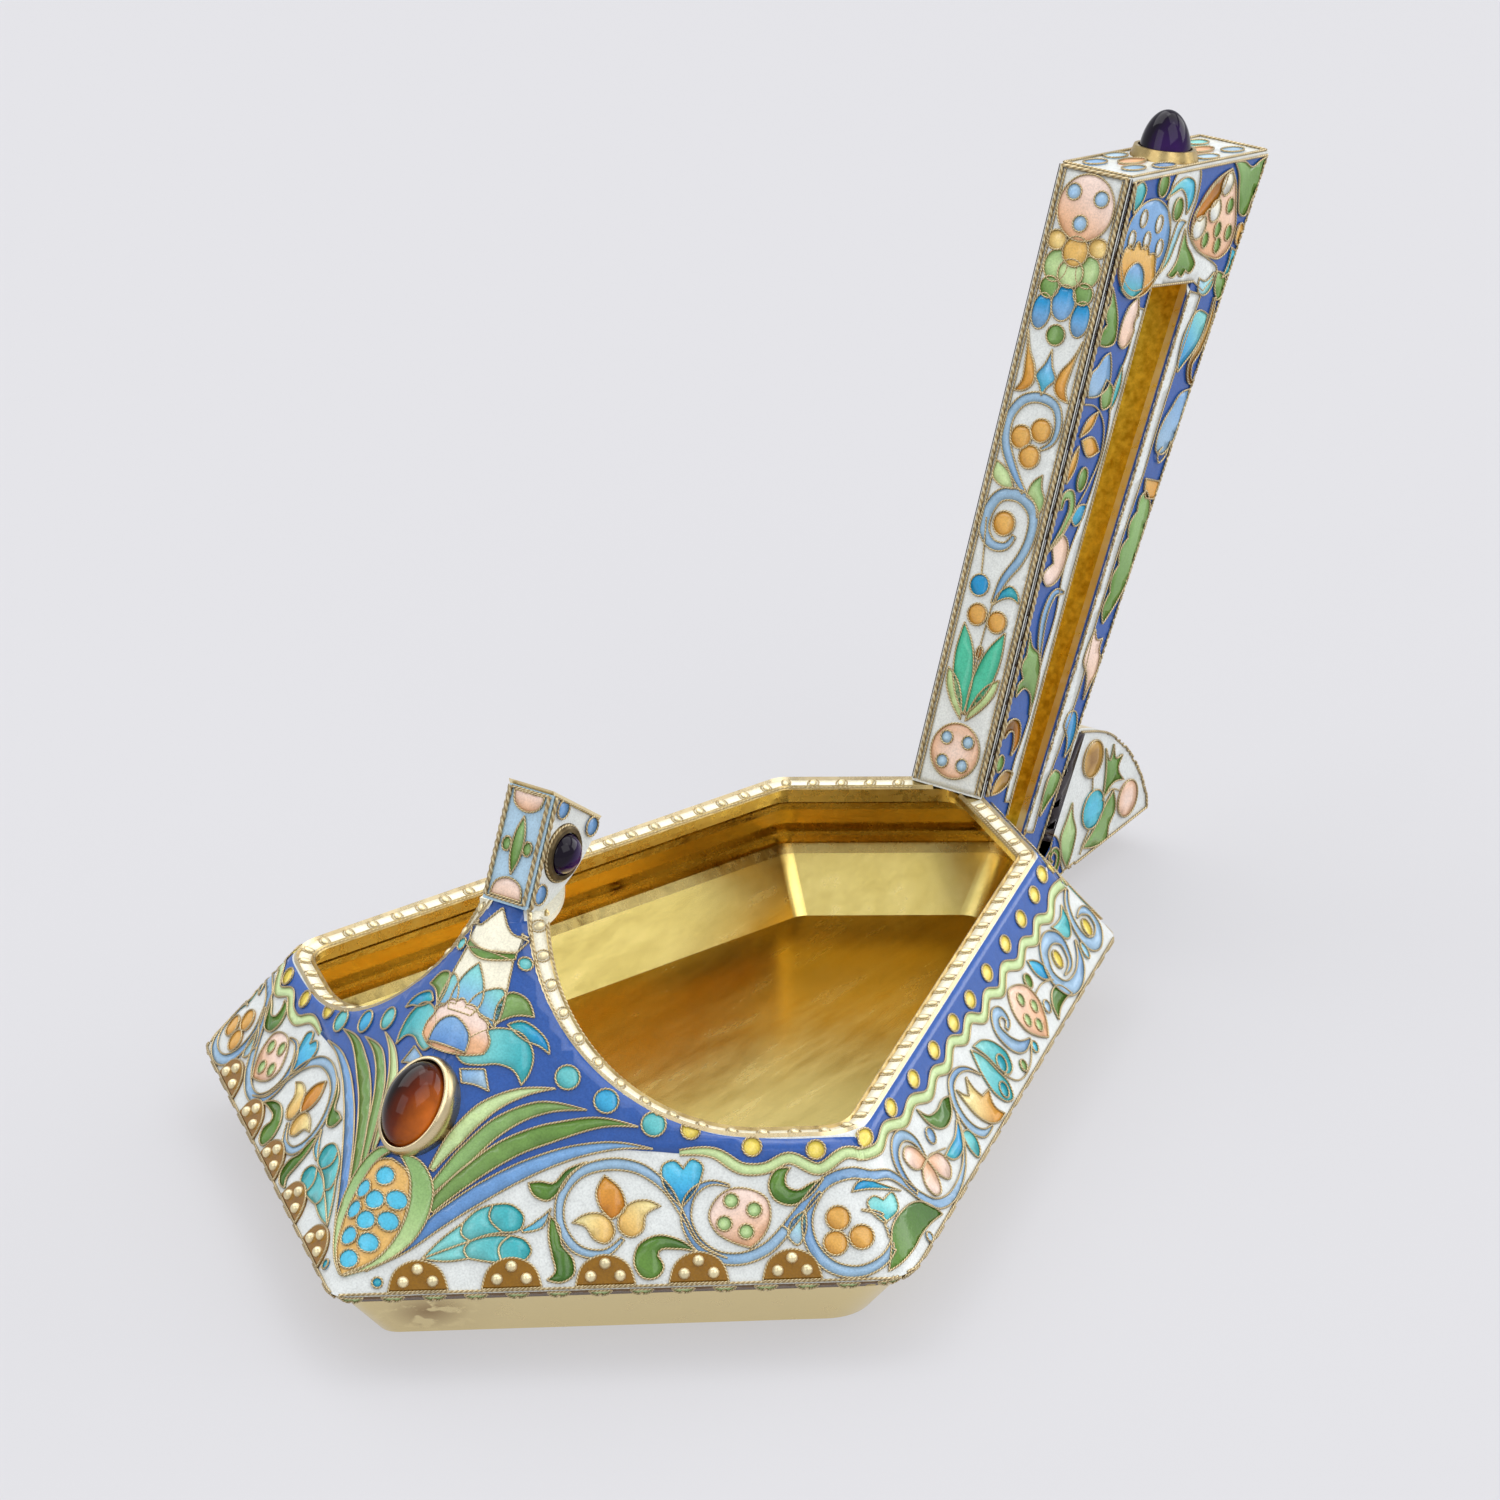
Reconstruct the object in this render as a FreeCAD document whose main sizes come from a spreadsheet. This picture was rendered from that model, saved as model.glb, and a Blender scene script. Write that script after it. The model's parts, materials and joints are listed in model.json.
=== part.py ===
import FreeCAD, Part
import math
import os
import re

import Sketcher

# A small presentation kovsh: a faceted drinking vessel of gilt silver with enamelled facets,
# a raised prow post, an open upright handle and a fan-shaped tail behind it.
# Frame: +Z up, +Y towards the handle, the prow at -Y, mirror-symmetric about X = 0, and the
# origin in the middle of the flat foot. Lengths are in millimetres, angles in degrees.

SIZES = {
    # the plan of the widest line, the girth
    "girth_height": 7.3,
    "prow_reach": 59.0,
    "front_corner_x": 42.0,
    "front_corner_reach": 26.2,
    "rear_corner_x": 21.0,
    "rear_corner_y": 44.6,
    "rear_apex_y": 59.3,
    # the slopes of the facets above and below the girth, from the horizontal
    "front_slope": 53.4,
    "side_slope": 57.9,
    "rear_slope": 50.6,
    "lower_slope": 54.0,
    # the rounding of the ridges
    "prow_round": 3.0,
    "front_round": 6.6,
    "rear_round": 4.5,
    "apex_round": 5.0,
    # sheet, enamel and small mouldings
    "sheet_wall": 1.0,
    "enamel_skin": 0.35,
    "girth_step": 0.5,
    "girth_band_height": 0.9,
    "bead_rise": 1.9,
    "bead_height": 0.8,
    "bead_depth": 0.5,
    "collar_drop": 3.9,
    "collar_height": 1.2,
    "collar_depth": 0.6,
    # the rim and the swoop that carries it up to the post
    "rim_height": 18.2,
    "rim_width": 2.1,
    "rim_plate": 0.7,
    "rim_fall": 0.3,
    "rim_flange_wall": 0.7,
    "rim_flange_drop": 2.4,
    "rim_wire_width": 0.5,
    "rim_wire_height": 0.35,
    "swoop_tuck": 0.57,
    "swoop_radius": 21.5,
    # the post on the prow, a profile in the plane of symmetry: its foot is given from the
    # prow's tip and the ridge, and its other points from the foot
    "post_half_width": 2.5,
    "post_foot_back": 27.5,
    "post_foot_sink": 0.2,
    "post_seat_back": 0.9,
    "post_brow_back": 4.6,
    "post_brow_rise": 10.0,
    "post_tip_back": 11.7,
    "post_tip_rise": 4.8,
    "post_tip_thick": 0.5,
    "post_belly_back": 6.9,
    "post_belly_rise": 0.5,
    "post_heel_back": 1.4,
    "post_heel_sink": 1.0,
    "post_cap_thick": 0.35,
    "post_cap_lip": 0.05,
    "tongue_plate": 0.7,
    "tongue_lip": 1.4,
    "tongue_length": 6.2,
    # stones and their bezels
    "stone_gap": 0.1,
    "post_stone_back": 5.8,
    "post_stone_rise": 3.6,
    "post_stone_radius": 2.1,
    "post_stone_dome": 1.8,
    "post_bezel_radius": 2.9,
    "post_bezel_height": 0.5,
    "garnet_back": 13.5,
    "garnet_lift": -0.4,
    "garnet_half_width": 2.95,
    "garnet_half_length": 4.4,
    "garnet_dome": 3.4,
    "garnet_bezel_wall": 0.6,
    "garnet_bezel_rise": 0.9,
    "garnet_bezel_sink": 4.0,
    "oval_end_share": 0.8,
    "top_stone_radius": 2.9,
    "top_stone_dome": 5.2,
    "top_bezel_wall": 0.75,
    "top_bezel_height": 1.2,
    "top_stone_in": 13.7,
    # the half-round lobes along the lower edge of the front facets
    "lobe_radius": 2.7,
    "lobe_thick": 0.3,
    "lobe_first": 8.0,
    "lobe_pitch": 8.6,
    "lobe_rise": 0.5,
    # the handle, a hollow box with a slot through it, as a profile in the plane of symmetry:
    # its front is given from the rim at the stern, its back and its slot from its front
    "handle_half_width": 4.3,
    "handle_front_in": 3.5,
    "handle_lean": 26.9,
    "handle_height": 59.9,
    "handle_foot_depth": 16.0,
    "handle_top_depth": 28.5,
    "handle_top_fall": 5.2,
    "handle_wall": 0.8,
    "slot_front_top_in": 4.3,
    "slot_front_top_drop": 13.2,
    "slot_back_top_in": 15.6,
    "slot_back_top_drop": 10.1,
    "slot_front_foot_in": 6.0,
    "slot_back_foot_in": 4.8,
    "slot_lining": 0.6,
    # the fan-shaped tail behind the handle, from the stern, the rim, the girth and the foot
    "tail_top_over_rim": 0.7,
    "tail_top_width": 1.0,
    "tail_slit_in": 1.0,
    "tail_slit_drop": 1.0,
    "tail_root_in": 6.8,
    "tail_bottom_z": 2.8,
    "tail_corner_out": 19.6,
    "tail_corner_z": 4.0,
    "tail_bulge_out": 15.6,
    "tail_bulge_z": 11.9,
    "tail_wall": 0.8,
    # how far the cutting solids run past what they cut
    "overrun": 150.0,
}

LOBES_A_SIDE = 5
STONE_RINGS = 3
STONE_TOP_ANGLE = 78
WEDGES = {}
OVALS = {}
WORDS = re.compile(r"[a-z][a-z_0-9]*")

doc = FreeCAD.newDocument("kovsh")
sizes = doc.addObject("Spreadsheet::Sheet", "sizes")
derived = doc.addObject("Spreadsheet::Sheet", "derived")
derived_names = []
nodes = {}


def fill_sizes():
    for row, (name, value) in enumerate(SIZES.items(), start=1):
        sizes.set(f"A{row}", name)
        sizes.set(f"B{row}", str(value))
        sizes.setAlias(f"B{row}", name)
    doc.recompute()


def ref(expression):
    """Names the sheet in front of every size that an expression uses."""

    def full(match):
        word = match.group(0)
        if word in SIZES:
            return "sizes." + word
        if word in derived_names:
            return "derived." + word
        return word

    return WORDS.sub(full, expression)


def derive(name, expression):
    """Adds a worked-out size to the second sheet."""
    row = len(derived_names) + 1
    derived.set(f"A{row}", name)
    derived.set(f"B{row}", "=" + ref(expression).replace("derived.", ""))
    derived.setAlias(f"B{row}", name)
    derived_names.append(name)
    derived.recompute()


def size(name):
    sheet = sizes if name in SIZES else derived
    value = sheet.get(name)
    return float(getattr(value, "Value", value))


def bind(thing, **expressions):
    for prop, expression in expressions.items():
        thing.setExpression(prop.replace("__", "."), ref(expression))


def keep(node, thing):
    thing.Label = node
    nodes[node] = thing
    return thing


# Outlines of the plan


CORNERS = {
    "prow": ("0", "-prow_reach"),
    "front_right": ("front_corner_x", "-front_corner_reach"),
    "rear_right": ("rear_corner_x", "rear_corner_y"),
    "stern": ("0", "rear_apex_y"),
    "rear_left": ("-rear_corner_x", "rear_corner_y"),
    "front_left": ("-front_corner_x", "-front_corner_reach"),
}
FACETS = {
    "front_right": ("prow", "front_right", "front_slope"),
    "side_right": ("front_right", "rear_right", "side_slope"),
    "rear_right": ("rear_right", "stern", "rear_slope"),
    "rear_left": ("stern", "rear_left", "rear_slope"),
    "side_left": ("rear_left", "front_left", "side_slope"),
    "front_left": ("front_left", "prow", "front_slope"),
}


def facet_frame(facet, tilt, height):
    """The placement whose X runs along the facet's girth edge and whose Z is its normal."""
    start, _, _ = FACETS[facet]
    x, y = CORNERS[start]
    return f"placement(vector({x}; {y}; {height}); rotation(yaw_{facet}; 0; {tilt}))"


def derive_plan():
    for facet, (start, end, _) in FACETS.items():
        (x_start, y_start), (x_end, y_end) = CORNERS[start], CORNERS[end]
        derive(f"yaw_{facet}", f"atan2(({y_end}) - ({y_start}); ({x_end}) - ({x_start})) / 1 deg")
    # how far a ridge runs inwards in plan for each unit of height, front and rear corners
    for name, first, second in (
        ("front", "front_right", "side_right"),
        ("rear", "side_right", "rear_right"),
    ):
        one, two = f"yaw_{first} * 1 deg", f"yaw_{second} * 1 deg"
        run_one = f"1 / tan({FACETS[first][2]} * 1 deg)"
        run_two = f"1 / tan({FACETS[second][2]} * 1 deg)"
        turn = f"sin({two} - {one})"
        derive(f"{name}_ridge_x", f"(cos({one}) * {run_two} - cos({two}) * {run_one}) / {turn}")
        derive(f"{name}_ridge_y", f"(sin({one}) * {run_two} - sin({two}) * {run_one}) / {turn}")
    derive("front_split_y", "-front_corner_reach - front_corner_x * front_ridge_y / front_ridge_x")
    derive("rear_split_y", "rear_corner_y - rear_corner_x * rear_ridge_y / rear_ridge_x")
    derive("girth_under", "girth_height - girth_band_height")
    derive("ridge_run", "tan(front_slope * 1 deg) * cos(yaw_front_right * 1 deg)")
    derive("ridge_tilt", "atan(ridge_run) / 1 deg")
    derive("bead_low", "girth_height + bead_rise")
    derive("collar_low", "rim_height - collar_drop")


def derive_lid():
    """A plane above the post's foot and the stern's rim, which closes the hulls above."""
    derive("post_foot_y", "-prow_reach + post_foot_back")
    derive("post_seat_y", "post_foot_y + post_seat_back")
    derive("post_foot_z", "girth_height + post_foot_back * ridge_run - post_foot_sink")
    derive("lid_fore_z", "post_foot_z + post_tip_rise")
    derive("lid_aft_z", "rim_height + collar_drop")
    derive("lid_tilt", "atan2(lid_aft_z - lid_fore_z; rear_apex_y - post_foot_y) / 1 deg")


def lid(name):
    box = doc.addObject("Part::Box", name)
    bind(box, Length="2 * overrun", Width="2 * overrun", Height="overrun")
    spot = "placement(vector(0; post_foot_y; lid_fore_z); rotation(0; 0; lid_tilt))"
    shift = "placement(vector(-overrun; -overrun; -overrun); rotation(0; 0; 0))"
    bind(box, Placement=f"{spot} * {shift}")
    return box


def slab(name, low, high):
    box = doc.addObject("Part::Box", name)
    bind(box, Length="2 * overrun", Width="2 * overrun", Height=f"({high}) - ({low})")
    bind(box, Placement=f"placement(vector(-overrun; -overrun; {low}); rotation(0; 0; 0))")
    return box


def half_space(name, facet, tilt, height, inset, below):
    """A large box with one face in the facet's plane, moved inwards by the inset."""
    box = doc.addObject("Part::Box", name)
    bind(box, Length="2 * overrun", Width="2 * overrun", Height="overrun")
    drop = f"-overrun - ({inset})" if below else f"{inset}"
    shift = f"placement(vector(-overrun; -overrun; {drop}); rotation(0; 0; 0))"
    bind(box, Placement=f"{facet_frame(facet, tilt, height)} * {shift}")
    return box


def ridge_radius(edge, inset):
    """The rounding of a ridge, by the corner of the plan that it rises from."""
    foot = max((v.Point for v in edge.Vertexes), key=lambda p: abs(p.x) + abs(p.y))
    corners = {
        "prow_round": (0.0, -size("prow_reach")),
        "front_round": (size("front_corner_x"), -size("front_corner_reach")),
        "rear_round": (size("rear_corner_x"), size("rear_corner_y")),
        "apex_round": (0.0, size("rear_apex_y")),
    }
    near = min(corners, key=lambda c: math.dist((abs(foot.x), foot.y), corners[c]))
    return size(near) - inset


def hull(name, upper, inset, low, high=None):
    """The solid inside all six facets, above or below the girth, with its ridges rounded."""
    members = []
    for facet, (_, _, slope) in FACETS.items():
        if upper:
            tilt, height = slope, "girth_height"
        else:
            tilt, height = "-lower_slope", "girth_height"
        members.append(half_space(f"{name}_{facet}", facet, tilt, height, inset, upper))
    members.append(slab(f"{name}_slab", low, high or "overrun"))
    if high is None:
        members.append(lid(f"{name}_lid"))
    common = doc.addObject("Part::MultiCommon", f"{name}_sharp")
    common.Shapes = members
    doc.recompute()
    depth = inset_value(inset)
    ground = common.Shape.BoundBox.ZMin + size("enamel_skin")
    rounds = []
    for number, edge in enumerate(common.Shape.Edges, start=1):
        heights = [v.Point.z for v in edge.Vertexes]
        if min(heights) < ground < max(heights):
            radius = ridge_radius(edge, depth)
            rounds.append((number, radius, radius))
    fillet = doc.addObject("Part::Fillet", name)
    fillet.Base = common
    fillet.Edges = rounds
    doc.recompute()
    return fillet


def inset_value(inset):
    return sum(size(word) for word in WORDS.findall(inset))


def boolean(kind, name, base, tool):
    result = doc.addObject(f"Part::{kind}", name)
    result.Base = base
    result.Tool = tool
    return result


# Rim path


def front_frame():
    """Origin, edge direction, up-slope direction of the right front facet."""
    yaw = math.radians(size("yaw_front_right"))
    tilt = math.radians(size("front_slope"))
    along = FreeCAD.Vector(math.cos(yaw), math.sin(yaw), 0)
    inward = FreeCAD.Vector(-math.sin(yaw), math.cos(yaw), 0)
    up = inward * math.cos(tilt) + FreeCAD.Vector(0, 0, math.sin(tilt))
    origin = FreeCAD.Vector(0, -size("prow_reach"), size("girth_height"))
    return origin, along, up


def swoop_edges(chain_end):
    """The right rim line on the front facet: from the post down the slope, the arc, and along."""
    origin, along, up = front_frame()
    back = size("post_seat_y") - origin.y
    gap = size("post_half_width") - size("swoop_tuck")
    start = gap * along.x + back * along.y
    top = (back * along.x - gap * along.y) / math.hypot(up.x, up.y)
    radius = size("swoop_radius")
    flat = (size("rim_height") - size("girth_height")) / up.z

    def at(u, v):
        return origin + along * u + up * v

    def on_arc(turn):
        return at(start + radius - radius * math.cos(turn), flat + radius - radius * math.sin(turn))

    first = math.asin(min(max((flat + radius - top) / radius, 0), 1))
    last = math.pi / 2
    arc = Part.Arc(on_arc(first), on_arc((first + last) / 2), on_arc(last)).toShape()
    edges = [arc, Part.LineSegment(on_arc(last), chain_end).toShape()]
    if not first:
        edges.insert(0, Part.LineSegment(at(start, top), on_arc(first)).toShape())
    return edges


def mirrored(edges):
    origin, across = FreeCAD.Vector(0, 0, 0), FreeCAD.Vector(1, 0, 0)
    return [edge.mirror(origin, across) for edge in edges]


def rim_path(outer_hull):
    """The outer line of the rim, from the post's right side round the stern to its left side."""
    wires = outer_hull.Shape.slice(FreeCAD.Vector(0, 0, 1), size("rim_height"))
    _, along, _ = front_frame()
    chain = []
    fore_point = None
    for edge in wires[0].Edges:
        first, last = edge.Vertexes[0].Point, edge.Vertexes[-1].Point
        run = last - first
        straight = abs(edge.Length - run.Length) < size("enamel_skin") / 100
        fore = straight and abs(abs(run.x * along.y) - abs(run.y * along.x)) < run.Length / 100
        if fore and min(first.y, last.y) < 0:
            if max(first.x, last.x) > 0:
                fore_point = max((first, last), key=lambda p: p.x)
            continue
        if max(first.y, last.y) < -size("front_corner_reach") - size("rim_height"):
            continue
        chain.append(edge)
    right = swoop_edges(fore_point)
    ordered = Part.__sortEdges__(right + chain + mirrored(right))
    wire = Part.Wire(ordered)
    if wire.Vertexes[0].Point.x < 0:
        wire = Part.Wire(Part.__sortEdges__([e for e in reversed(ordered)]))
    return wire


def sweep_on_rim(node, path, profile):
    """A section held upright and swept along the rim's outer line."""
    _, along, _ = front_frame()
    start = max((path.Vertexes[0].Point, path.Vertexes[-1].Point), key=lambda p: p.x)

    def at(inward, rise):
        return start + along * inward + FreeCAD.Vector(0, 0, rise)

    pipe = Part.BRepOffsetAPI.MakePipeShell(path)
    pipe.setBiNormalMode(FreeCAD.Vector(0, 0, 1))
    pipe.add(profile(at, along))
    pipe.build()
    pipe.makeSolid()
    feature = doc.addObject("Part::Feature", node)
    shape = pipe.shape()
    if shape.Volume < 0:
        shape.reverse()
    feature.Shape = shape
    return feature


def rim_section(at, along):
    width, fall = size("rim_width"), size("rim_fall")
    plate, drop, flange = size("rim_plate"), size("rim_flange_drop"), size("rim_flange_wall")
    corners = [
        at(0, 0),
        at(width, -fall),
        at(width, -fall - plate),
        at(flange, -plate - fall * flange / width),
        at(flange, -drop),
        at(0, -drop),
    ]
    return Part.makePolygon(corners + corners[:1])


def wire_section(inward, rise):
    """A flat-backed wire that stands on the rim plate."""

    def profile(at, along):
        width, height = size("rim_wire_width"), size("rim_wire_height")
        slip = size("rim_fall") * width / size("rim_width")
        corners = [
            at(inward, rise),
            at(inward + width, rise - slip),
            at(inward + width / 2, rise + height - slip / 2),
        ]
        return Part.makePolygon(corners + corners[:1])

    return profile


def opening_cutter(path):
    """A tall prism over the plan of the rim's outer line."""
    low = -size("rim_height")
    reach = size("overrun")
    sheet = Part.makePlane(2 * reach, 2 * reach, FreeCAD.Vector(-reach, -reach, low))
    flat = sheet.makeParallelProjection(path, FreeCAD.Vector(0, 0, 1))
    edges = Part.__sortEdges__(flat.Edges)
    ends = Part.Wire(edges)
    first, last = ends.Vertexes[0].Point, ends.Vertexes[-1].Point
    closed = Part.Wire(Part.__sortEdges__(edges + [Part.LineSegment(last, first).toShape()]))
    feature = doc.addObject("Part::Feature", "opening_cutter")
    feature.Shape = Part.Face(closed).extrude(FreeCAD.Vector(0, 0, reach))
    return feature


# Profiles in the plane of symmetry


def inset_corner(name, before, corner, after, distance):
    """Works out a corner of an outline moved inwards by a distance (outline counter-clockwise)."""
    for tag, one, two in (("in", before, corner), ("out", corner, after)):
        length = f"sqrt(({two}_z - {one}_z)^2 + ({two}_y - {one}_y)^2)"
        derive(f"{name}_{tag}_y", f"({two}_y - {one}_y) / {length}")
        derive(f"{name}_{tag}_z", f"({two}_z - {one}_z) / {length}")
    derive(f"{name}_turn", f"{name}_in_y * {name}_out_z - {name}_in_z * {name}_out_y")
    for axis in "yz":
        step = f"({name}_out_{axis} - {name}_in_{axis}) / {name}_turn"
        derive(f"{name}_{axis}", f"{corner}_{axis} + ({distance}) * {step}")


def profile_sketch(body, name, corners):
    """A closed sketch in the YZ plane through named points; a point led by ~ bends an arc."""
    plane = next(f for f in body.Origin.OriginFeatures if f.Role == "YZ_Plane")
    sketch = body.newObject("Sketcher::SketchObject", name)
    sketch.AttachmentSupport = [(plane, "")]
    sketch.MapMode = "FlatFace"
    ends = [c for c in corners if not c.startswith("~")]
    places = {c: (size(f"{c}_y"), size(f"{c}_z")) for c in (k.lstrip("~") for k in corners)}
    ring = corners + [corners[0]]
    joints = []
    index = 0
    while index < len(ring) - 1:
        here = ring[index]
        bend = ring[index + 1] if ring[index + 1].startswith("~") else None
        there = ring[index + 2] if bend else ring[index + 1]
        joints.append(add_span(sketch, places, here, bend, there))
        index += 2 if bend else 1
    for number, (geo, first, last) in enumerate(joints):
        following, start, _ = joints[(number + 1) % len(joints)]
        sketch.addConstraint(Sketcher.Constraint("Coincident", geo, last, following, start))
        pin_point(sketch, geo, first, ends[number])
    return sketch


def add_span(sketch, places, here, bend, there):
    """Adds a line, or an arc through a bend point, and says which of its ends comes first."""
    first = FreeCAD.Vector(*places[here], 0)
    last = FreeCAD.Vector(*places[there], 0)
    if bend is None:
        return sketch.addGeometry(Part.LineSegment(first, last), False), 1, 2
    middle = FreeCAD.Vector(*places[bend.lstrip("~")], 0)
    arc = Part.Arc(first, middle, last).toShape().Curve
    centre = arc.Center
    turn = (first - centre).cross(middle - centre).z
    begin, end = (first, last) if turn > 0 else (last, first)
    angles = [math.atan2(p.y - centre.y, p.x - centre.x) for p in (begin, end)]
    circle = Part.Circle(centre, FreeCAD.Vector(0, 0, 1), arc.Radius)
    geo = sketch.addGeometry(Part.ArcOfCircle(circle, angles[0], angles[1]), False)
    mark = sketch.addGeometry(Part.Point(middle), True)
    sketch.addConstraint(Sketcher.Constraint("PointOnObject", mark, 1, geo))
    pin_point(sketch, mark, 1, bend.lstrip("~"))
    return (geo, 1, 2) if turn > 0 else (geo, 2, 1)


def pin_point(sketch, geo, end, name):
    for kind, axis in (("DistanceX", "y"), ("DistanceY", "z")):
        value = size(f"{name}_{axis}")
        number = sketch.addConstraint(Sketcher.Constraint(kind, -1, 1, geo, end, value))
        sketch.renameConstraint(number, f"{name}_{axis}")
        sketch.setExpression(f"Constraints.{name}_{axis}", ref(f"{name}_{axis}"))


def prism(name, corners, low, high):
    """A body padded along X between two named places from a profile in the YZ plane."""
    body = doc.addObject("PartDesign::Body", name)
    sketch = profile_sketch(body, f"{name}_outline", corners)
    sketch.setExpression("AttachmentOffset.Base.z", ref(low))
    pad = body.newObject("PartDesign::Pad", f"{name}_pad")
    pad.Profile = sketch
    bind(pad, Length=f"({high}) - ({low})")
    return body


# The bowl


def make_bowl():
    skin_hull = hull("skin_hull", True, "0", "girth_height")
    shell_hull = hull("shell_hull", True, "enamel_skin", "girth_height")
    room_hull = hull("room_hull", True, "enamel_skin + sheet_wall", "girth_height")
    path = rim_path(skin_hull)
    cutter = opening_cutter(path)

    shell = boolean("Cut", "shell_hollow", shell_hull, room_hull)
    keep("shoulder_shell", boolean("Cut", "shoulder", shell, cutter))
    make_skins(skin_hull, shell_hull, cutter)

    bowl = hull("bowl_hull", False, "girth_step", "0", "girth_under")
    hollow = hull("bowl_room", False, "girth_step + sheet_wall", "sheet_wall", "girth_height")
    keep("lower_bowl", boolean("Cut", "bowl", bowl, hollow))
    band = hull("band_hull", False, "0", "girth_under", "girth_height")
    keep("girth_band", boolean("Cut", "band", band, hollow))

    for node, low, height, depth in (
        ("inner_bead", "bead_low", "bead_height", "bead_depth"),
        ("inner_collar", "collar_low", "collar_height", "collar_depth"),
    ):
        inner = f"enamel_skin + sheet_wall + {depth}"
        outside = hull(f"{node}_outside", True, "enamel_skin + sheet_wall", low, f"{low} + {height}")
        inside = hull(f"{node}_inside", True, inner, "girth_height")
        keep(node, boolean("Cut", f"{node}_ring", outside, inside))

    keep("rim_band", sweep_on_rim("rim_band_sweep", path, rim_section))
    return skin_hull, path


def derive_wedges():
    """Works out the plan of the six regions that part the enamel along the ridges."""
    for side, sign in (("right", ""), ("left", "-")):
        regions = {
            "front": [
                ("0", "front_split_y"),
                ("0", "-overrun"),
                (f"{sign}overrun", "-overrun"),
                (f"{sign}overrun", "front_split_y + overrun * front_ridge_y / front_ridge_x"),
            ],
            "side": [
                ("0", "front_split_y"),
                (f"{sign}overrun", "front_split_y + overrun * front_ridge_y / front_ridge_x"),
                (f"{sign}overrun", "rear_split_y + overrun * rear_ridge_y / rear_ridge_x"),
                ("0", "rear_split_y"),
            ],
            "rear": [
                ("0", "rear_split_y"),
                (f"{sign}overrun", "rear_split_y + overrun * rear_ridge_y / rear_ridge_x"),
                ("0", "rear_split_y + overrun * 2"),
            ],
        }
        for part_name, corners in regions.items():
            name = f"{part_name}_{side}_wedge"
            WEDGES[name] = [f"{name}_p{number}" for number in range(len(corners))]
            for point, (x, y) in zip(WEDGES[name], corners):
                derive(f"{point}_y", x)
                derive(f"{point}_z", y)


def make_skins(skin_hull, shell_hull, cutter):
    """The enamel over the six facets, one piece a facet, parted along the ridges."""
    layer = boolean("Cut", "skin_layer", skin_hull, shell_hull)
    open_layer = boolean("Cut", "skin_open", layer, cutter)
    for name, points in WEDGES.items():
        part_name, side, _ = name.split("_")
        wedge = plan_prism(name, points, "overrun")
        facet = boolean("Common", f"{part_name}_{side}_skin", open_layer, wedge)
        keep(f"{part_name}_enamel_{side}", facet)


def plan_prism(name, names, height):
    """A prism whose plan goes through named points."""
    body = doc.addObject("PartDesign::Body", name)
    plane = next(f for f in body.Origin.OriginFeatures if f.Role == "XY_Plane")
    sketch = profile_sketch(body, f"{name}_outline", names)
    sketch.AttachmentSupport = [(plane, "")]
    pad = body.newObject("PartDesign::Pad", f"{name}_pad")
    pad.Profile = sketch
    bind(pad, Length=height)
    return body


# The post


def derive_post():
    outline = {
        "post_heel": ("post_heel_back", "-post_heel_sink"),
        "post_belly": ("post_belly_back", "post_belly_rise"),
        "post_tail": ("post_tip_back", "post_tip_rise - post_tip_thick"),
        "post_back": ("post_tip_back", "post_tip_rise"),
        "post_brow": ("post_brow_back", "post_brow_rise"),
        "tongue_low": ("post_heel_back", "-post_heel_sink - tongue_plate"),
        "tongue_mid": ("post_belly_back", "post_belly_rise - tongue_plate"),
        "tongue_far": ("post_tip_back", "post_tip_rise - post_tip_thick - tongue_plate"),
        "post_gem": ("post_stone_back", "post_stone_rise"),
    }
    for name, (back, rise) in outline.items():
        derive(f"{name}_y", f"post_foot_y + {back}")
        derive(f"{name}_z", f"post_foot_z + {rise}")
    inset_corner("post_foot_in", "post_brow", "post_foot", "post_heel", "enamel_skin")
    inset_corner("post_brow_cap", "post_back", "post_brow", "post_foot", "-post_cap_thick")
    inset_corner("post_back_cap", "post_tail", "post_back", "post_brow", "-post_cap_thick")
    # the front skin ends under the cap, so its inner top corner lies on the cap's underside
    for axis in "yz":
        slip = f"post_brow_cap_in_{axis} * enamel_skin / post_brow_cap_turn"
        derive(f"post_brow_in_{axis}", f"post_brow_{axis} - {slip}")


def make_post(skin_hull):
    seat = boolean("Common", "post_seat", skin_hull, slab_ahead("seat_ahead", "post_seat_y"))
    core = ["post_foot_in", "post_heel", "~post_belly", "post_tail", "post_back", "post_brow_in"]
    inner = "post_half_width - enamel_skin"
    body = prism("post_core", core, f"-({inner})", inner)
    keep("post_body", boolean("Cut", "post_seated", body, seat))
    for side, low, high in (
        ("right", inner, "post_half_width"),
        ("left", "-post_half_width", f"-({inner})"),
    ):
        skin = prism(f"post_{side}_skin", core, low, high)
        keep(f"post_{side}_enamel", boolean("Cut", f"post_{side}_seated", skin, seat))
    front = ["post_foot", "post_foot_in", "post_brow_in", "post_brow"]
    skin = prism("post_front_skin", front, "-post_half_width", "post_half_width")
    keep("post_front_enamel", boolean("Cut", "post_front_seated", skin, seat))
    cap = ["post_brow", "post_back", "post_back_cap", "post_brow_cap"]
    half = "post_half_width + post_cap_lip"
    keep("post_cap", prism("post_lid", cap, f"-({half})", half))
    for side, sign, turn in (("right", "", "90"), ("left", "-", "-90")):
        spot = f"vector({sign}post_half_width; post_gem_y; post_gem_z)"
        frame = f"placement({spot}; rotation(0; {turn}; 0))"
        ring = round_bezel(
            f"post_{side}", frame, "post_bezel_radius", "post_stone_radius", "post_bezel_height"
        )
        keep(f"post_bezel_{side}", ring)
        stone = round_stone(f"post_{side}", frame, "post_stone_radius", "post_stone_dome")
        keep(f"post_amethyst_{side}", stone)


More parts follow.
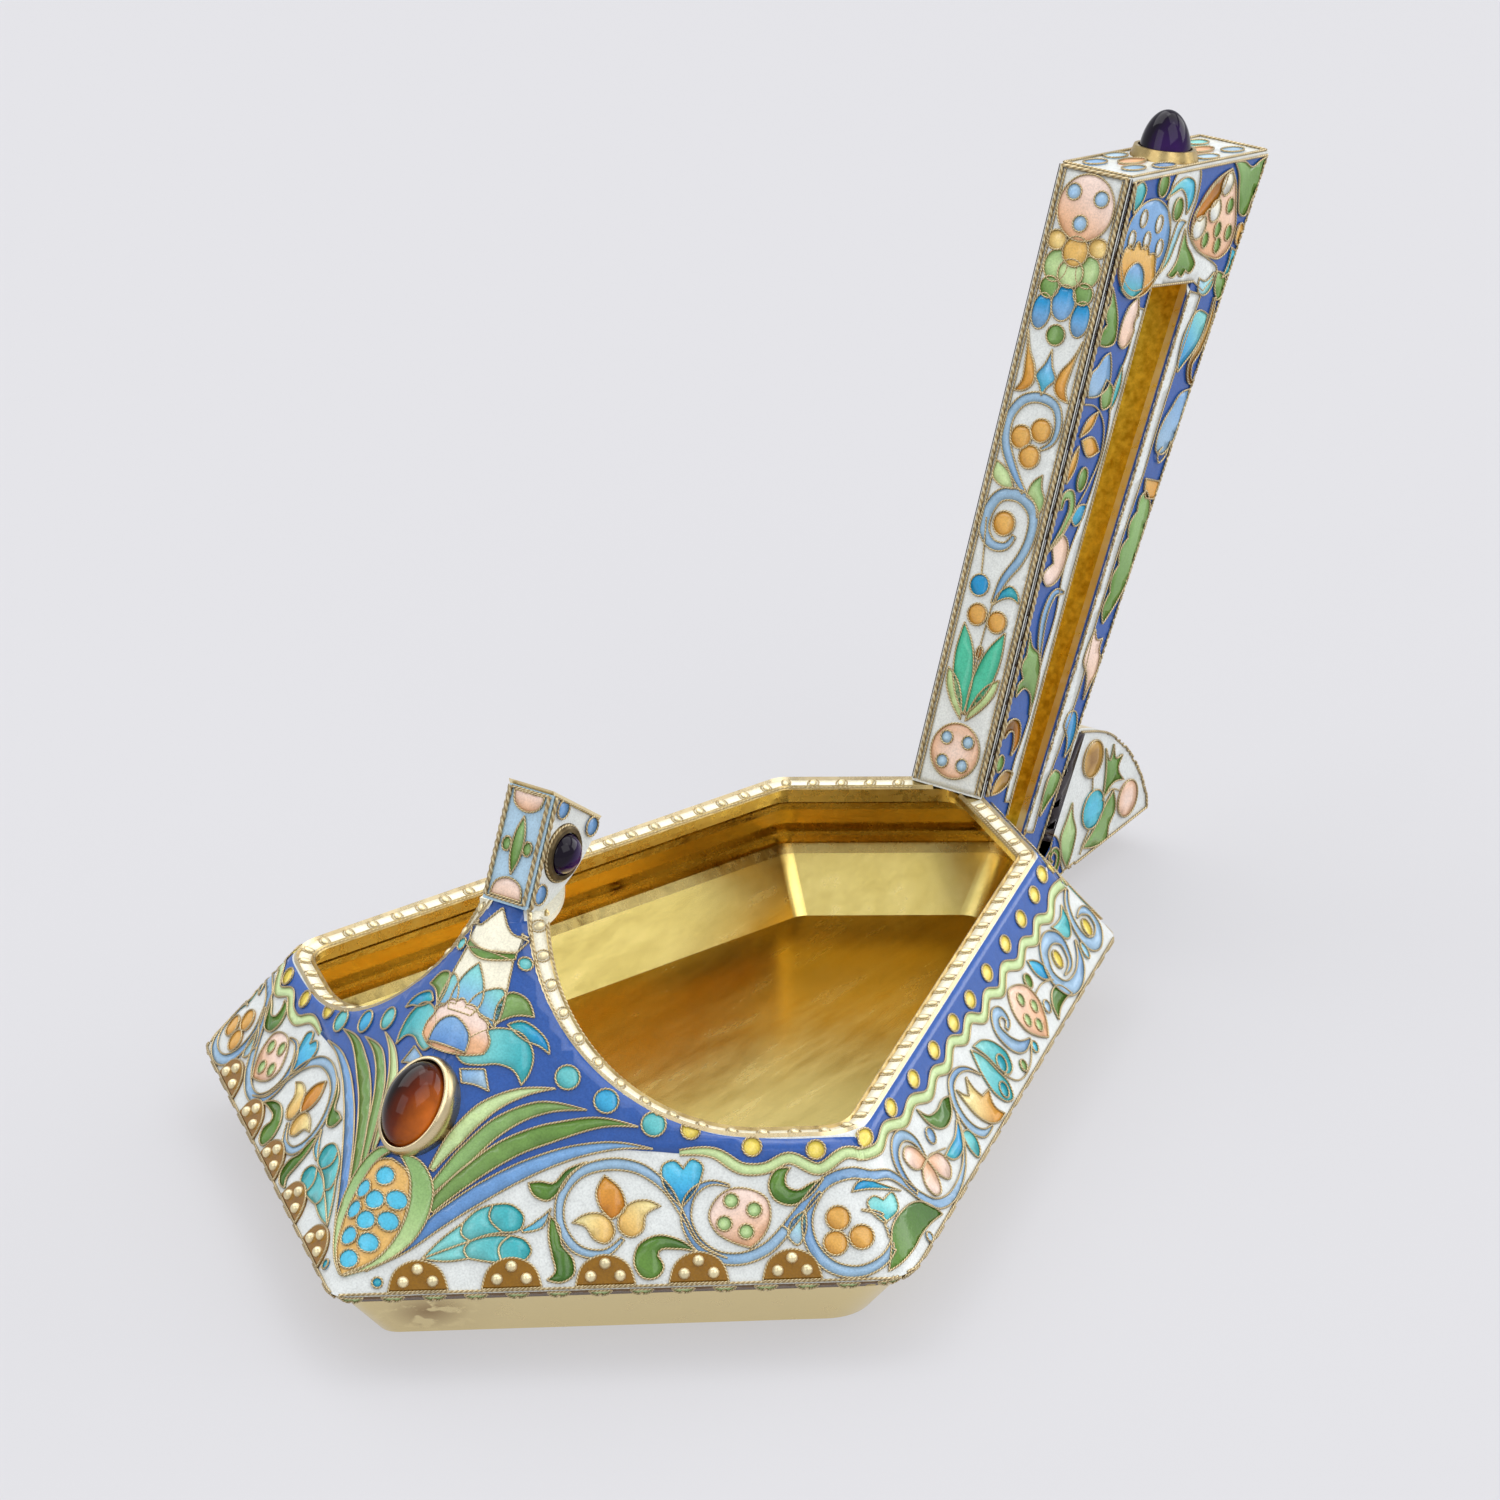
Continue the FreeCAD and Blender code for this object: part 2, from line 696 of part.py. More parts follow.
def slab_ahead(name, limit):
    """Everything on the prow's side of a plane across the axis."""
    box = doc.addObject("Part::Box", name)
    bind(box, Length="2 * overrun", Width="overrun", Height="2 * overrun")
    bind(box, Placement=f"placement(vector(-overrun; {limit} - overrun; -overrun); rotation(0; 0; 0))")
    return box


def round_bezel(name, frame, outer, inner, height):
    """A tapered ring that stands on a face, along the frame's Z axis."""
    cone = doc.addObject("Part::Cone", f"{name}_bezel_outside")
    bind(cone, Radius1=outer, Radius2=f"({outer} + {inner}) / 2", Height=height, Placement=frame)
    bore = doc.addObject("Part::Cylinder", f"{name}_bezel_bore")
    bind(bore, Radius=inner, Height=height, Placement=frame)
    return boolean("Cut", f"{name}_bezel", cone, bore)


def climb(number, rings):
    """How far up a domed stone a ring stands, as an angle from its flat back."""
    return f"({number} * {STONE_TOP_ANGLE / (rings - 1)} * 1 deg)"


def round_stone(name, frame, radius, dome):
    """A domed round stone with a flat back, inside its bezel: a stack of cones."""
    layers = []
    for number in range(STONE_RINGS - 1):
        low, high = climb(number, STONE_RINGS), climb(number + 1, STONE_RINGS)
        cone = doc.addObject("Part::Cone", f"{name}_layer_{number + 1}")
        bind(cone, Radius1=f"({radius} - stone_gap) * cos({low})")
        bind(cone, Radius2=f"({radius} - stone_gap) * cos({high})")
        bind(cone, Height=f"{dome} * (sin({high}) - sin({low}))")
        rise = f"placement(vector(0; 0; {dome} * sin({low})); rotation(0; 0; 0))"
        bind(cone, Placement=f"{frame} * {rise}")
        layers.append(cone)
    stone = doc.addObject("Part::MultiFuse", f"{name}_stone")
    stone.Shapes = layers
    return stone


def oval_stone(name, frame, half_x, half_y, dome):
    """A domed oval stone with a flat back, inside its bezel: a loft through its rings."""
    rings = []
    for number in range(STONE_RINGS):
        turn = climb(number, STONE_RINGS)
        oval = doc.addObject("Part::Ellipse", f"{name}_ring_{number + 1}")
        bind(oval, MajorRadius=f"({half_y} - stone_gap) * cos({turn})")
        bind(oval, MinorRadius=f"({half_x} - stone_gap) * cos({turn})")
        rise = f"placement(vector(0; 0; {dome} * sin({turn})); rotation(90; 0; 0))"
        bind(oval, Placement=f"{frame} * {rise}")
        rings.append(oval)
    stone = doc.addObject("Part::Loft", f"{name}_stone")
    stone.Sections = rings
    stone.Solid = True
    stone.Ruled = True
    return stone


def make_tongue():
    """The strip that closes the rim under the post, from one side of its foot to the other."""
    corners = ["tongue_low", "~tongue_mid", "tongue_far", "post_tail", "~post_belly", "post_heel"]
    strip = prism("tongue_strip", corners, "-overrun", "overrun")
    oval = doc.addObject("Part::Ellipse", "tongue_oval")
    bind(oval, MajorRadius="tongue_length", MinorRadius="post_half_width + tongue_lip")
    spot = "vector(0; post_heel_y; 0)"
    bind(oval, Placement=f"placement({spot}; rotation(90; 0; 0))")
    tower = doc.addObject("Part::Extrusion", "tongue_tower")
    tower.Base = oval
    tower.DirMode = "Custom"
    tower.Dir = FreeCAD.Vector(0, 0, 1)
    tower.Solid = True
    bind(tower, LengthFwd="overrun")
    return boolean("Common", "tongue_plate_trimmed", strip, tower)


# The garnet on the prow


def derive_oval(name, half_x, half_y):
    """Works out a flat oval of four arcs: round ends of one radius, flatter sides of another."""
    end, side = f"{name}_end", f"{name}_side"
    derive(end, f"({half_x}) * oval_end_share")
    spread = f"(({half_y}) - {end})^2 + ({half_x})^2 - {end}^2"
    derive(side, f"({spread}) / (2 * (({half_x}) - {end}))")
    derive(f"{name}_lean", f"{end} / ({side} - {end})")
    across = f"{name}_lean * ({side} - ({half_x}))"
    along = f"(({half_y}) - {end}) * (1 + {name}_lean)"
    points = {
        "fore_right": (across, along),
        "~fore": ("0", half_y),
        "fore_left": (f"-({across})", along),
        "~left": (f"-({half_x})", "0"),
        "aft_left": (f"-({across})", f"-({along})"),
        "~aft": ("0", f"-({half_y})"),
        "aft_right": (across, f"-({along})"),
        "~right": (half_x, "0"),
    }
    OVALS[name] = []
    for point, (x, y) in points.items():
        bend = "~" if point.startswith("~") else ""
        place = f"{name}_{point.lstrip('~')}"
        OVALS[name].append(bend + place)
        derive(f"{place}_y", x)
        derive(f"{place}_z", y)


def derive_garnet():
    wall = "garnet_bezel_wall"
    derive_oval("garnet_outside", f"garnet_half_width + {wall}", f"garnet_half_length + {wall}")
    derive_oval("garnet_bore", "garnet_half_width", "garnet_half_length")


def make_garnet(skin_hull):
    rise = "girth_height + garnet_back * ridge_run + garnet_lift"
    spot = f"vector(0; -prow_reach + garnet_back; {rise})"
    frame = f"placement({spot}; rotation(0; 0; ridge_tilt))"
    outer = oval_rod("garnet_outside", frame)
    inner = oval_rod("garnet_bore", frame)
    ring = boolean("Cut", "garnet_ring", outer, inner)
    keep("garnet_bezel", boolean("Cut", "garnet_seated", ring, skin_hull))
    stone = oval_stone("garnet", frame, "garnet_half_width", "garnet_half_length", "garnet_dome")
    keep("garnet", stone)


def oval_rod(name, frame):
    """An oval rod into the prow ridge, long side up the slope."""
    rod = plan_prism(name, OVALS[name], "garnet_bezel_sink + garnet_bezel_rise")
    sink = "placement(vector(0; 0; -garnet_bezel_sink); rotation(0; 0; 0))"
    bind(rod, Placement=f"{frame} * {sink}")
    return rod


# The lobes along the lower edge of the front facets


def make_lobes():
    for facet, side in (("front_right", "right"), ("front_left", "left")):
        discs = []
        for number in range(LOBES_A_SIDE):
            along = f"lobe_first + {number} * lobe_pitch"
            if side == "left":
                length = "sqrt(front_corner_x^2 + (prow_reach - front_corner_reach)^2)"
                along = f"{length} - ({along})"
            disc = doc.addObject("Part::Cylinder", f"lobe_{side}_{number + 1}")
            disc.Angle = 180
            shift = f"placement(vector({along}; lobe_rise; 0); rotation(0; 0; 0))"
            frame = facet_frame(facet, "front_slope", "girth_height")
            bind(disc, Radius="lobe_radius", Height="lobe_thick", Placement=f"{frame} * {shift}")
            discs.append(disc)
        group = doc.addObject("Part::Compound", f"lobes_{side}")
        group.Links = discs
        keep(f"edge_lobes_{side}", group)


# The handle


def derive_handle():
    derive("stern_run", "1 / (tan(rear_slope * 1 deg) * abs(cos(yaw_rear_right * 1 deg)))")
    derive("rim_stern_y", "rear_apex_y - (rim_height - girth_height) * stern_run")
    drop = "handle_lean / handle_height * (rim_height - girth_height)"
    corners = {
        "box_ff": (f"rim_stern_y - handle_front_in - {drop}", "girth_height"),
        "box_bf": ("box_ff_y + handle_foot_depth", "girth_height"),
        "box_ft": ("rim_stern_y - handle_front_in + handle_lean", "rim_height + handle_height"),
        "box_bt": ("box_ft_y + handle_top_depth", "box_ft_z - handle_top_fall"),
        "slot_ff": ("box_ff_y + slot_front_foot_in", "girth_height"),
        "slot_bf": ("box_bf_y - slot_back_foot_in", "girth_height"),
        "slot_bt": ("box_bt_y - slot_back_top_in", "box_bt_z - slot_back_top_drop"),
        "slot_ft": ("box_ft_y + slot_front_top_in", "box_ft_z - slot_front_top_drop"),
    }
    for name, (y, z) in corners.items():
        derive(f"{name}_y", y)
        derive(f"{name}_z", z)
    for ring, level, distance in (
        ("box", "plate", "enamel_skin"),
        ("box", "core", "enamel_skin + handle_wall"),
        ("slot", "lined", "-slot_lining"),
    ):
        order = [f"{ring}_{c}" for c in ("ff", "bf", "bt", "ft")]
        for number, here in enumerate(order):
            before, after = order[number - 1], order[(number + 1) % 4]
            if level != "lined" or here.endswith("t"):
                inset_corner(f"{level}_{here[-2:]}", before, here, after, distance)
    for here, sign in (("f", "-"), ("b", "+")):
        run = f"(slot_{here}t_y - slot_{here}f_y) / (slot_{here}t_z - slot_{here}f_z)"
        derive(f"lined_{here}f_y", f"slot_{here}f_y {sign} slot_lining * sqrt(1 + ({run})^2)")
        derive(f"lined_{here}f_z", "girth_height")
    derive("top_stone_y", "box_ft_y + top_stone_in")
    derive("top_stone_z", "box_ft_z - top_stone_in * handle_top_fall / handle_top_depth")
    derive("top_tilt", "-atan(handle_top_fall / handle_top_depth) / 1 deg")


def make_handle(skin_hull, path):
    stand = boolean("Common", "handle_stand", skin_hull, slab("rim_under", "0", "rim_height"))
    half, inner = "handle_half_width", "handle_half_width - enamel_skin"
    deep = "handle_half_width - enamel_skin - handle_wall"

    def piece(node, outline, low, high):
        blank = prism(f"{node}_blank", outline, low, high)
        keep(node, boolean("Cut", f"{node}_seated", blank, stand))

    piece("handle_front_enamel", ["box_ff", "plate_ff", "plate_ft", "box_ft"], f"-{half}", half)
    piece("handle_back_enamel", ["plate_bf", "box_bf", "box_bt", "plate_bt"], f"-{half}", half)
    piece("handle_top_enamel", ["plate_ft", "plate_bt", "box_bt", "box_ft"], f"-{half}", half)
    piece("handle_front_plate", ["plate_ff", "core_ff", "core_ft", "plate_ft"], f"-({deep})", deep)
    piece("handle_back_plate", ["core_bf", "plate_bf", "plate_bt", "core_bt"], f"-({deep})", deep)
    piece("handle_top_plate", ["core_ft", "core_bt", "plate_bt", "plate_ft"], f"-({deep})", deep)
    cheek = ["plate_ff", "slot_ff", "slot_ft", "slot_bt", "slot_bf", "plate_bf", "plate_bt", "plate_ft"]
    piece("handle_right_plate", cheek, deep, inner)
    piece("handle_left_plate", cheek, f"-({inner})", f"-({deep})")
    piece("handle_right_enamel", cheek, inner, half)
    piece("handle_left_enamel", cheek, f"-{half}", f"-({inner})")
    piece("slot_front_lining", ["lined_ff", "slot_ff", "slot_ft", "lined_ft"], f"-({deep})", deep)
    piece("slot_back_lining", ["slot_bf", "lined_bf", "lined_bt", "slot_bt"], f"-({deep})", deep)
    piece("slot_top_lining", ["slot_ft", "slot_bt", "lined_bt", "lined_ft"], f"-({deep})", deep)
    make_rim_wires(path)
    make_top_stone()


def make_rim_wires(path):
    """The raised wires along the outer and inner edge of the rim, parted where the handle stands."""
    outline = ["box_ff", "box_bf", "box_bt", "box_ft"]
    room = prism("handle_room", outline, "-handle_half_width", "handle_half_width")
    width, fall = size("rim_width"), size("rim_fall")
    wall = size("rim_wire_width")
    for node, start in (("rim_outer_wire", 0), ("rim_inner_wire", width - wall)):
        drop = fall * start / width
        blank = sweep_on_rim(f"{node}_sweep", path, wire_section(start, -drop))
        keep(node, boolean("Cut", f"{node}_parted", blank, room))


def make_top_stone():
    frame = "placement(vector(0; top_stone_y; top_stone_z); rotation(0; 0; top_tilt))"
    ring = round_bezel(
        "top", frame, "top_stone_radius + top_bezel_wall", "top_stone_radius", "top_bezel_height"
    )
    keep("top_bezel", ring)
    keep("top_amethyst", round_stone("top", frame, "top_stone_radius", "top_stone_dome"))


# The tail


def derive_tail():
    top = "rim_height + tail_top_over_rim"
    back_run = "(box_bt_y - box_bf_y) / (box_bt_z - box_bf_z)"
    corners = {
        "tail_root": ("rear_apex_y - tail_root_in", "tail_bottom_z"),
        "tail_corner": ("rear_apex_y + tail_corner_out", "tail_corner_z"),
        "tail_bulge": ("rear_apex_y + tail_bulge_out", "tail_bulge_z"),
        "tail_top": (f"box_bf_y + {back_run} * ({top} - box_bf_z)", top),
        "tail_neck": (
            f"box_bf_y + {back_run} * ({top} - tail_top_width - box_bf_z)",
            f"{top} - tail_top_width",
        ),
        "tail_slit": ("rear_apex_y - tail_slit_in", "girth_height - tail_slit_drop"),
        "tail_tuck": ("rear_apex_y - tail_root_in", "girth_height - tail_slit_drop"),
    }
    for name, (y, z) in corners.items():
        derive(f"{name}_at_y", y)
        derive(f"{name}_at_z", z)
    ring = [f"{name}_at" for name in corners]
    for number, here in enumerate(ring):
        before, after = ring[number - 1], ring[(number + 1) % len(ring)]
        inset_corner(here.replace("_at", "_in"), before, here, after, "tail_wall")


def make_tail():
    outline = [
        "tail_root_at",
        "tail_corner_at",
        "~tail_bulge_at",
        "tail_top_at",
        "tail_neck_at",
        "tail_slit_at",
        "tail_tuck_at",
    ]
    bowl = hull("tail_stand", False, "girth_step", "0", "girth_under")
    inner = "handle_half_width - enamel_skin"
    deep = "handle_half_width - enamel_skin - tail_wall"

    def piece(node, blank):
        return keep(node, boolean("Cut", f"{node}_seated", blank, bowl))

    for side, plate, skin in (
        ("right", (deep, inner), (inner, "handle_half_width")),
        ("left", (f"-({inner})", f"-({deep})"), ("-handle_half_width", f"-({inner})")),
    ):
        piece(f"tail_{side}_plate", prism(f"tail_{side}_sheet", outline, *plate))
        piece(f"tail_{side}_enamel", prism(f"tail_{side}_skin", outline, *skin))
    block = prism("tail_block", outline, f"-({deep})", deep)
    inside = [corner.replace("_at", "_in") for corner in outline]
    room = prism("tail_room", inside, f"-({deep})", deep)
    piece("tail_edge_strip", boolean("Cut", "tail_strip_bent", block, room))


# The finished part


def check_and_write():
    broken = [o.Name for o in doc.Objects if {"Invalid", "Error"} & set(o.State)]
    if broken:
        raise SystemExit(f"objects that failed: {broken}")
    os.makedirs("parts", exist_ok=True)
    for node, thing in nodes.items():
        shape = thing.Shape
        if shape.isNull() or not shape.isValid() or not shape.Solids:
            raise SystemExit(f"{node} has no valid solid")
        shape.exportStep(f"parts/{node}.step")
        print(node, len(shape.Solids), round(shape.Volume, 1))


fill_sizes()
derive_plan()
derive_lid()
derive_wedges()
derive_post()
derive_garnet()
derive_handle()
derive_tail()
hull_outside, rim_line = make_bowl()
make_post(hull_outside)
keep("rim_tongue", make_tongue())
make_garnet(hull_outside)
make_lobes()
make_handle(hull_outside, rim_line)
make_tail()
doc.recompute()
check_and_write()
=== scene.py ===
import json
import math

import bpy
import numpy as np
from mathutils import Matrix, Vector
from mathutils.bvhtree import BVHTree
from mathutils.geometry import delaunay_2d_cdt


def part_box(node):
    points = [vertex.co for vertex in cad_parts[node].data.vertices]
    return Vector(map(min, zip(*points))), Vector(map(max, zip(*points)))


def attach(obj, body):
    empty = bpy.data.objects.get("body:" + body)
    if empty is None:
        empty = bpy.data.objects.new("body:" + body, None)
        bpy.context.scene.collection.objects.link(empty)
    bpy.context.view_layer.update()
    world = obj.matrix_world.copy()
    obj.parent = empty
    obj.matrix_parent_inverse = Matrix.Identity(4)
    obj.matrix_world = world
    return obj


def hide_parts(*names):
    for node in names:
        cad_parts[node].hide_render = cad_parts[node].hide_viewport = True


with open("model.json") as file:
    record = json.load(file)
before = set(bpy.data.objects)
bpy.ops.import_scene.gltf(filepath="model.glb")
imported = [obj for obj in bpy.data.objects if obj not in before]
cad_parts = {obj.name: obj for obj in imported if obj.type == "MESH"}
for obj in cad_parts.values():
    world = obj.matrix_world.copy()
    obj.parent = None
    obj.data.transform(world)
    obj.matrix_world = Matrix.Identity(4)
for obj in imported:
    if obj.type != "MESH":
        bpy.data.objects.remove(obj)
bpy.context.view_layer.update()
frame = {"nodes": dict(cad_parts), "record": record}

# A gilt kovsh with filigree enamel. Each enamelled face is a panel, a flat sheet with its own
# millimetre coordinates (u across, v up) laid over the CAD nodes. Cells of enamel and the
# twisted wires round them are drawn on the panels and projected onto the metal.

MM = 0.001
TAU = 2 * math.pi

# Sizes in millimetres: how finely lines and cells are divided
STEP = 0.45
GRID = 1.1
# how high enamel stands, how much each level adds, and how deep a cell goes into the metal
CELL_LIFT = 0.05
CELL_LAYER = 0.035
CELL_ROOT = 0.12
# the twisted wire: half its width and half its height, a half turn, and the gap of its rings
WIRE_BROAD = 0.125
WIRE_THIN = 0.08
WIRE_TWIST = 0.36
WIRE_RING = 0.09
# rays start above a sheet and end below it
RAY_START = 9.0
RAY_LENGTH = 30.0
# across the rim: its cream enamel, its two wires, and the step that gives its heading
RIM_BAND = (0.35, 1.75)
RIM_WIRES = (0.22, 1.88)
RIM_REACH = 0.6
RIM_TONGUE = 4.9
# how far apart repeated motifs stand
RIM_BEAD_GAP = 2.95
LOBE_GAP = 8.6
SCALLOP_GAP = 3.9

# Counts and shares
WIRE_SIDES = 6
STONE_SIDES = 72
STONE_RINGS = 14
# a border rope's size beside a cell wire
ROPE_SCALE = 2.1
# how far past its edge a disc's shading runs
DISC_SHADE = 1.35
# a grain's middle above the surface as a share of its radius, and how far round it is a ball
GRAIN_SINK = 0.35
BALL_ARC = 0.62

# where the gilding has worn off the bowl near the prow, in metres
WORN_PATCH = (0.0052, -0.0512, 0.0035)

# Colours as they are seen, red, green and blue out of 255
COLOURS = {
    "white": (222, 225, 222),
    "cream": (244, 238, 214),
    "cobalt": (44, 86, 160),
    "blue": (86, 132, 192),
    "sky": (126, 170, 214),
    "pale_sky": (178, 208, 228),
    "scroll": (116, 156, 198),
    "scroll_pale": (150, 182, 208),
    "azure": (30, 148, 206),
    "turquoise": (56, 172, 180),
    "deep_turquoise": (26, 150, 172),
    "aqua": (136, 212, 208),
    "berry": (84, 190, 222),
    "green": (96, 136, 54),
    "deep_green": (62, 104, 30),
    "leaf": (142, 180, 110),
    "pale_leaf": (196, 220, 156),
    "ribbon": (200, 222, 160),
    "emerald": (72, 188, 152),
    "moss": (118, 152, 82),
    "yellow": (238, 214, 96),
    "pale_yellow": (242, 226, 158),
    "amber": (228, 182, 98),
    "orange": (214, 150, 58),
    "deep_orange": (200, 126, 34),
    "tan": (228, 182, 104),
    "peach": (242, 206, 180),
    "pink": (244, 218, 204),
    "deep_peach": (230, 176, 132),
    "brown": (120, 78, 6),
    "lobe": (138, 94, 0),
    "steel_blue": (96, 140, 190),
    # painted shade under the shoulder's step, along the girth
    "girth_step_shadow": (104, 76, 44),
    # stones: a side of painted shade, a middle tone, and a painted glow of light inside the stone
    "garnet_dark": (16, 3, 2),
    "garnet_mid": (98, 34, 6),
    "garnet_painted_glow": (210, 108, 26),
    "amethyst_dark": (16, 5, 24),
    "amethyst_mid": (66, 24, 108),
    "amethyst_painted_glow": (146, 90, 200),
    "shadow": (52, 34, 18),
    # painted shadow in the slit between the tail and the handle
    "painted_slit_shadow": (30, 14, 22),
    # the wire's painted highlight on its crests, which is also the even pale gilt of the granules, and
    # its painted shade in its valleys
    "pale_gilt_and_crest_highlight": (236, 220, 176),
    "gilt_valley_shade": (138, 108, 60),
}

# Pairs that shade into each other across a cell
AMBER = ("amber", "orange")
LEAF = ("leaf", "green")
AQUA = ("aqua", "turquoise")
SCROLL = ("scroll", "scroll_pale")
SCROLL_BACK = ("scroll_pale", "scroll")
GREEN = ("green", "deep_green")
SPRING = ("pale_leaf", "leaf")
PEACH = ("pink", "deep_peach")
AZURE = ("berry", "azure")
MOSS = ("leaf", "moss")
SKY = ("sky", "scroll_pale")
PINK = ("pink", "peach")
YELLOW = ("yellow", "yellow")
BERRY = ("berry", "turquoise")
STRAW = ("pale_yellow", "amber")
LIME = ("ribbon", "pale_leaf")
LAGOON = ("turquoise", "azure")
MIST = ("pale_sky", "scroll_pale")


def linear(name):
    """The named colour as Blender's linear red, green, blue and alpha."""
    shares = np.array(COLOURS[name]) / 255
    low = shares / 12.92
    high = ((shares + 0.055) / 1.055) ** 2.4
    return np.append(np.where(shares <= 0.04045, low, high), 1.0)


# Lines and outlines


def smooth_run(points, closed=False):
    """A smooth line through points; a point with a third entry is a sharp corner."""
    places = [np.array(p[:2], float) for p in points]
    sharp = [len(p) > 2 for p in points]
    count = len(places)
    last = count if closed else count - 1
    if not closed:
        sharp[0] = sharp[-1] = True

    def tangent(i):
        before, here, after = places[i - 1], places[i], places[(i + 1) % count]
        back, fore = np.linalg.norm(here - before), np.linalg.norm(after - here)
        return ((here - before) / back * fore + (after - here) / fore * back) / (back + fore)

    line = []
    for i in range(last):
        j = (i + 1) % count
        start, end = places[i], places[j]
        span = np.linalg.norm(end - start)
        if sharp[i] and sharp[j]:
            steps = max(1, round(span / (3 * STEP)))
            line += [start + (end - start) * k / steps for k in range(steps)]
            continue
        leave = None if sharp[i] else tangent(i) * span
        reach = None if sharp[j] else tangent(j) * span
        if leave is None:
            leave = (3 * (end - start) - reach) / 2
        if reach is None:
            reach = (3 * (end - start) - leave) / 2
        steps = max(3, math.ceil(span / STEP))
        for k in range(steps):
            t = k / steps
            line.append(
                (2 * t**3 - 3 * t**2 + 1) * start
                + (t**3 - 2 * t**2 + t) * leave
                + (3 * t**2 - 2 * t**3) * end
                + (t**3 - t**2) * reach
            )
    if not closed:
        line.append(places[-1])
    return np.array(line)


def oval(u, v, across, up=None, turn=0.0):
    """An ellipse round a centre, its up axis turned by an angle in degrees."""
    up = up or across
    count = max(12, round(TAU * max(across, up) / STEP))
    angle = np.arange(count) * TAU / count
    x, y = across * np.cos(angle), up * np.sin(angle)
    c, s = math.cos(math.radians(turn)), math.sin(math.radians(turn))
    return np.stack([u + x * c - y * s, v + x * s + y * c], 1)


def stroke(points, widths):
    """The outline of a stroke of changing width along a smooth line, and the line itself."""
    line = smooth_run(points)
    along = length_along(line)
    marks = np.linspace(0, along[-1], len(widths))
    half = np.interp(along, marks, widths) / 2
    slope = np.gradient(line, axis=0)
    slope /= np.linalg.norm(slope, axis=1)[:, None]
    side = np.stack([-slope[:, 1], slope[:, 0]], 1)
    left, right = line + side * half[:, None], line - side * half[:, None]
    first = 1 if half[0] < STEP / 10 else 0
    final = len(line) - (1 if half[-1] < STEP / 10 else 0)
    return np.concatenate([left, right[first:final][::-1]]), line


def mirror(points):
    """The same points on the other side of the line u = 0."""
    return [(-u, *rest) for u, *rest in points]


def sharp_ends(points):
    """The same points, the first and the last as sharp corners."""
    return [(*points[0], 1), *points[1:-1], (*points[-1], 1)]


def turned(points):
    """The mirror image of a closed outline, run the other way from the same first point."""
    other = mirror(points)
    return other[:1] + other[:0:-1]


def length_along(line):
    """How far each point of a line is from its start, along the line."""
    return np.concatenate([[0], np.cumsum(np.linalg.norm(np.diff(line, axis=0), axis=1))])


# Meshes


def new_object(name, points, faces, colours=None, smooth=True):
    mesh = bpy.data.meshes.new(name)
    mesh.from_pydata(np.asarray(points).tolist(), [], faces)
    if colours is not None:
        layer = mesh.attributes.new("paint", "FLOAT_COLOR", "POINT")
        layer.data.foreach_set("color", np.asarray(colours, np.float32).ravel())
    mesh.polygons.foreach_set("use_smooth", [smooth] * len(mesh.polygons))
    mesh.update()
    thing = bpy.data.objects.new(name, mesh)
    bpy.context.scene.collection.objects.link(thing)
    return thing


class Batch:
    """Points, faces and colours that are gathered and then made into one mesh."""

    def __init__(self):
        self.points, self.faces, self.colours, self.count = [], [], [], 0

    def add(self, points, faces, colours):
        self.faces += [tuple(i + self.count for i in face) for face in faces]
        self.points.append(np.asarray(points, float))
        self.colours.append(np.asarray(colours, float))
        self.count += len(points)

    def make(self, name, flip=False):
        points = np.concatenate(self.points) * (np.array([-1, 1, 1]) if flip else 1)
        faces = [face[::-1] for face in self.faces] if flip else self.faces
        return new_object(name, points * MM, faces, np.concatenate(self.colours))


def twisted_tube(points, normals, closed, scale=1.0):
    """A wire of two strands twisted together: an oval section that turns along the line."""
    count = len(points)
    if closed:
        slope = np.roll(points, -1, 0) - np.roll(points, 1, 0)
    else:
        slope = np.gradient(points, axis=0)
    slope /= np.linalg.norm(slope, axis=1)[:, None]
    side = np.cross(slope, normals)
    side /= np.linalg.norm(side, axis=1)[:, None]
    rise = np.cross(side, slope)
    along = length_along(points)
    length = along[-1] + (np.linalg.norm(points[0] - points[-1]) if closed else 0)
    turns = max(1, round(length / (WIRE_TWIST * scale)))
    twist = math.pi * turns * along / length
    angle = np.arange(WIRE_SIDES) * TAU / WIRE_SIDES
    lean = angle[None, :] - twist[:, None]
    broad, thin = WIRE_BROAD * scale, WIRE_THIN * scale
    radius = broad * thin / np.sqrt((thin * np.cos(lean)) ** 2 + (broad * np.sin(lean)) ** 2)
    ring = (
        side[:, None, :] * (np.cos(angle)[None, :] * radius)[:, :, None]
        + rise[:, None, :] * (np.sin(angle)[None, :] * radius)[:, :, None]
    )
    body = (points[:, None, :] + ring).reshape(-1, 3)
    faces = []
    for i in range(count if closed else count - 1):
        a, b = i * WIRE_SIDES, (i + 1) % count * WIRE_SIDES
        for k in range(WIRE_SIDES):
            m = (k + 1) % WIRE_SIDES
            faces.append((a + k, a + m, b + m, b + k))
    if not closed:
        faces.append(tuple(range(WIRE_SIDES))[::-1])
        faces.append(tuple(range((count - 1) * WIRE_SIDES, count * WIRE_SIDES)))
    # painted shade in the grooves where the two strands meet, and a painted highlight on their crests
    share = ((radius - thin) / (broad - thin)).reshape(-1, 1)
    tint = linear("gilt_valley_shade") * (1 - share) + linear("pale_gilt_and_crest_highlight") * share
    return body, faces, tint


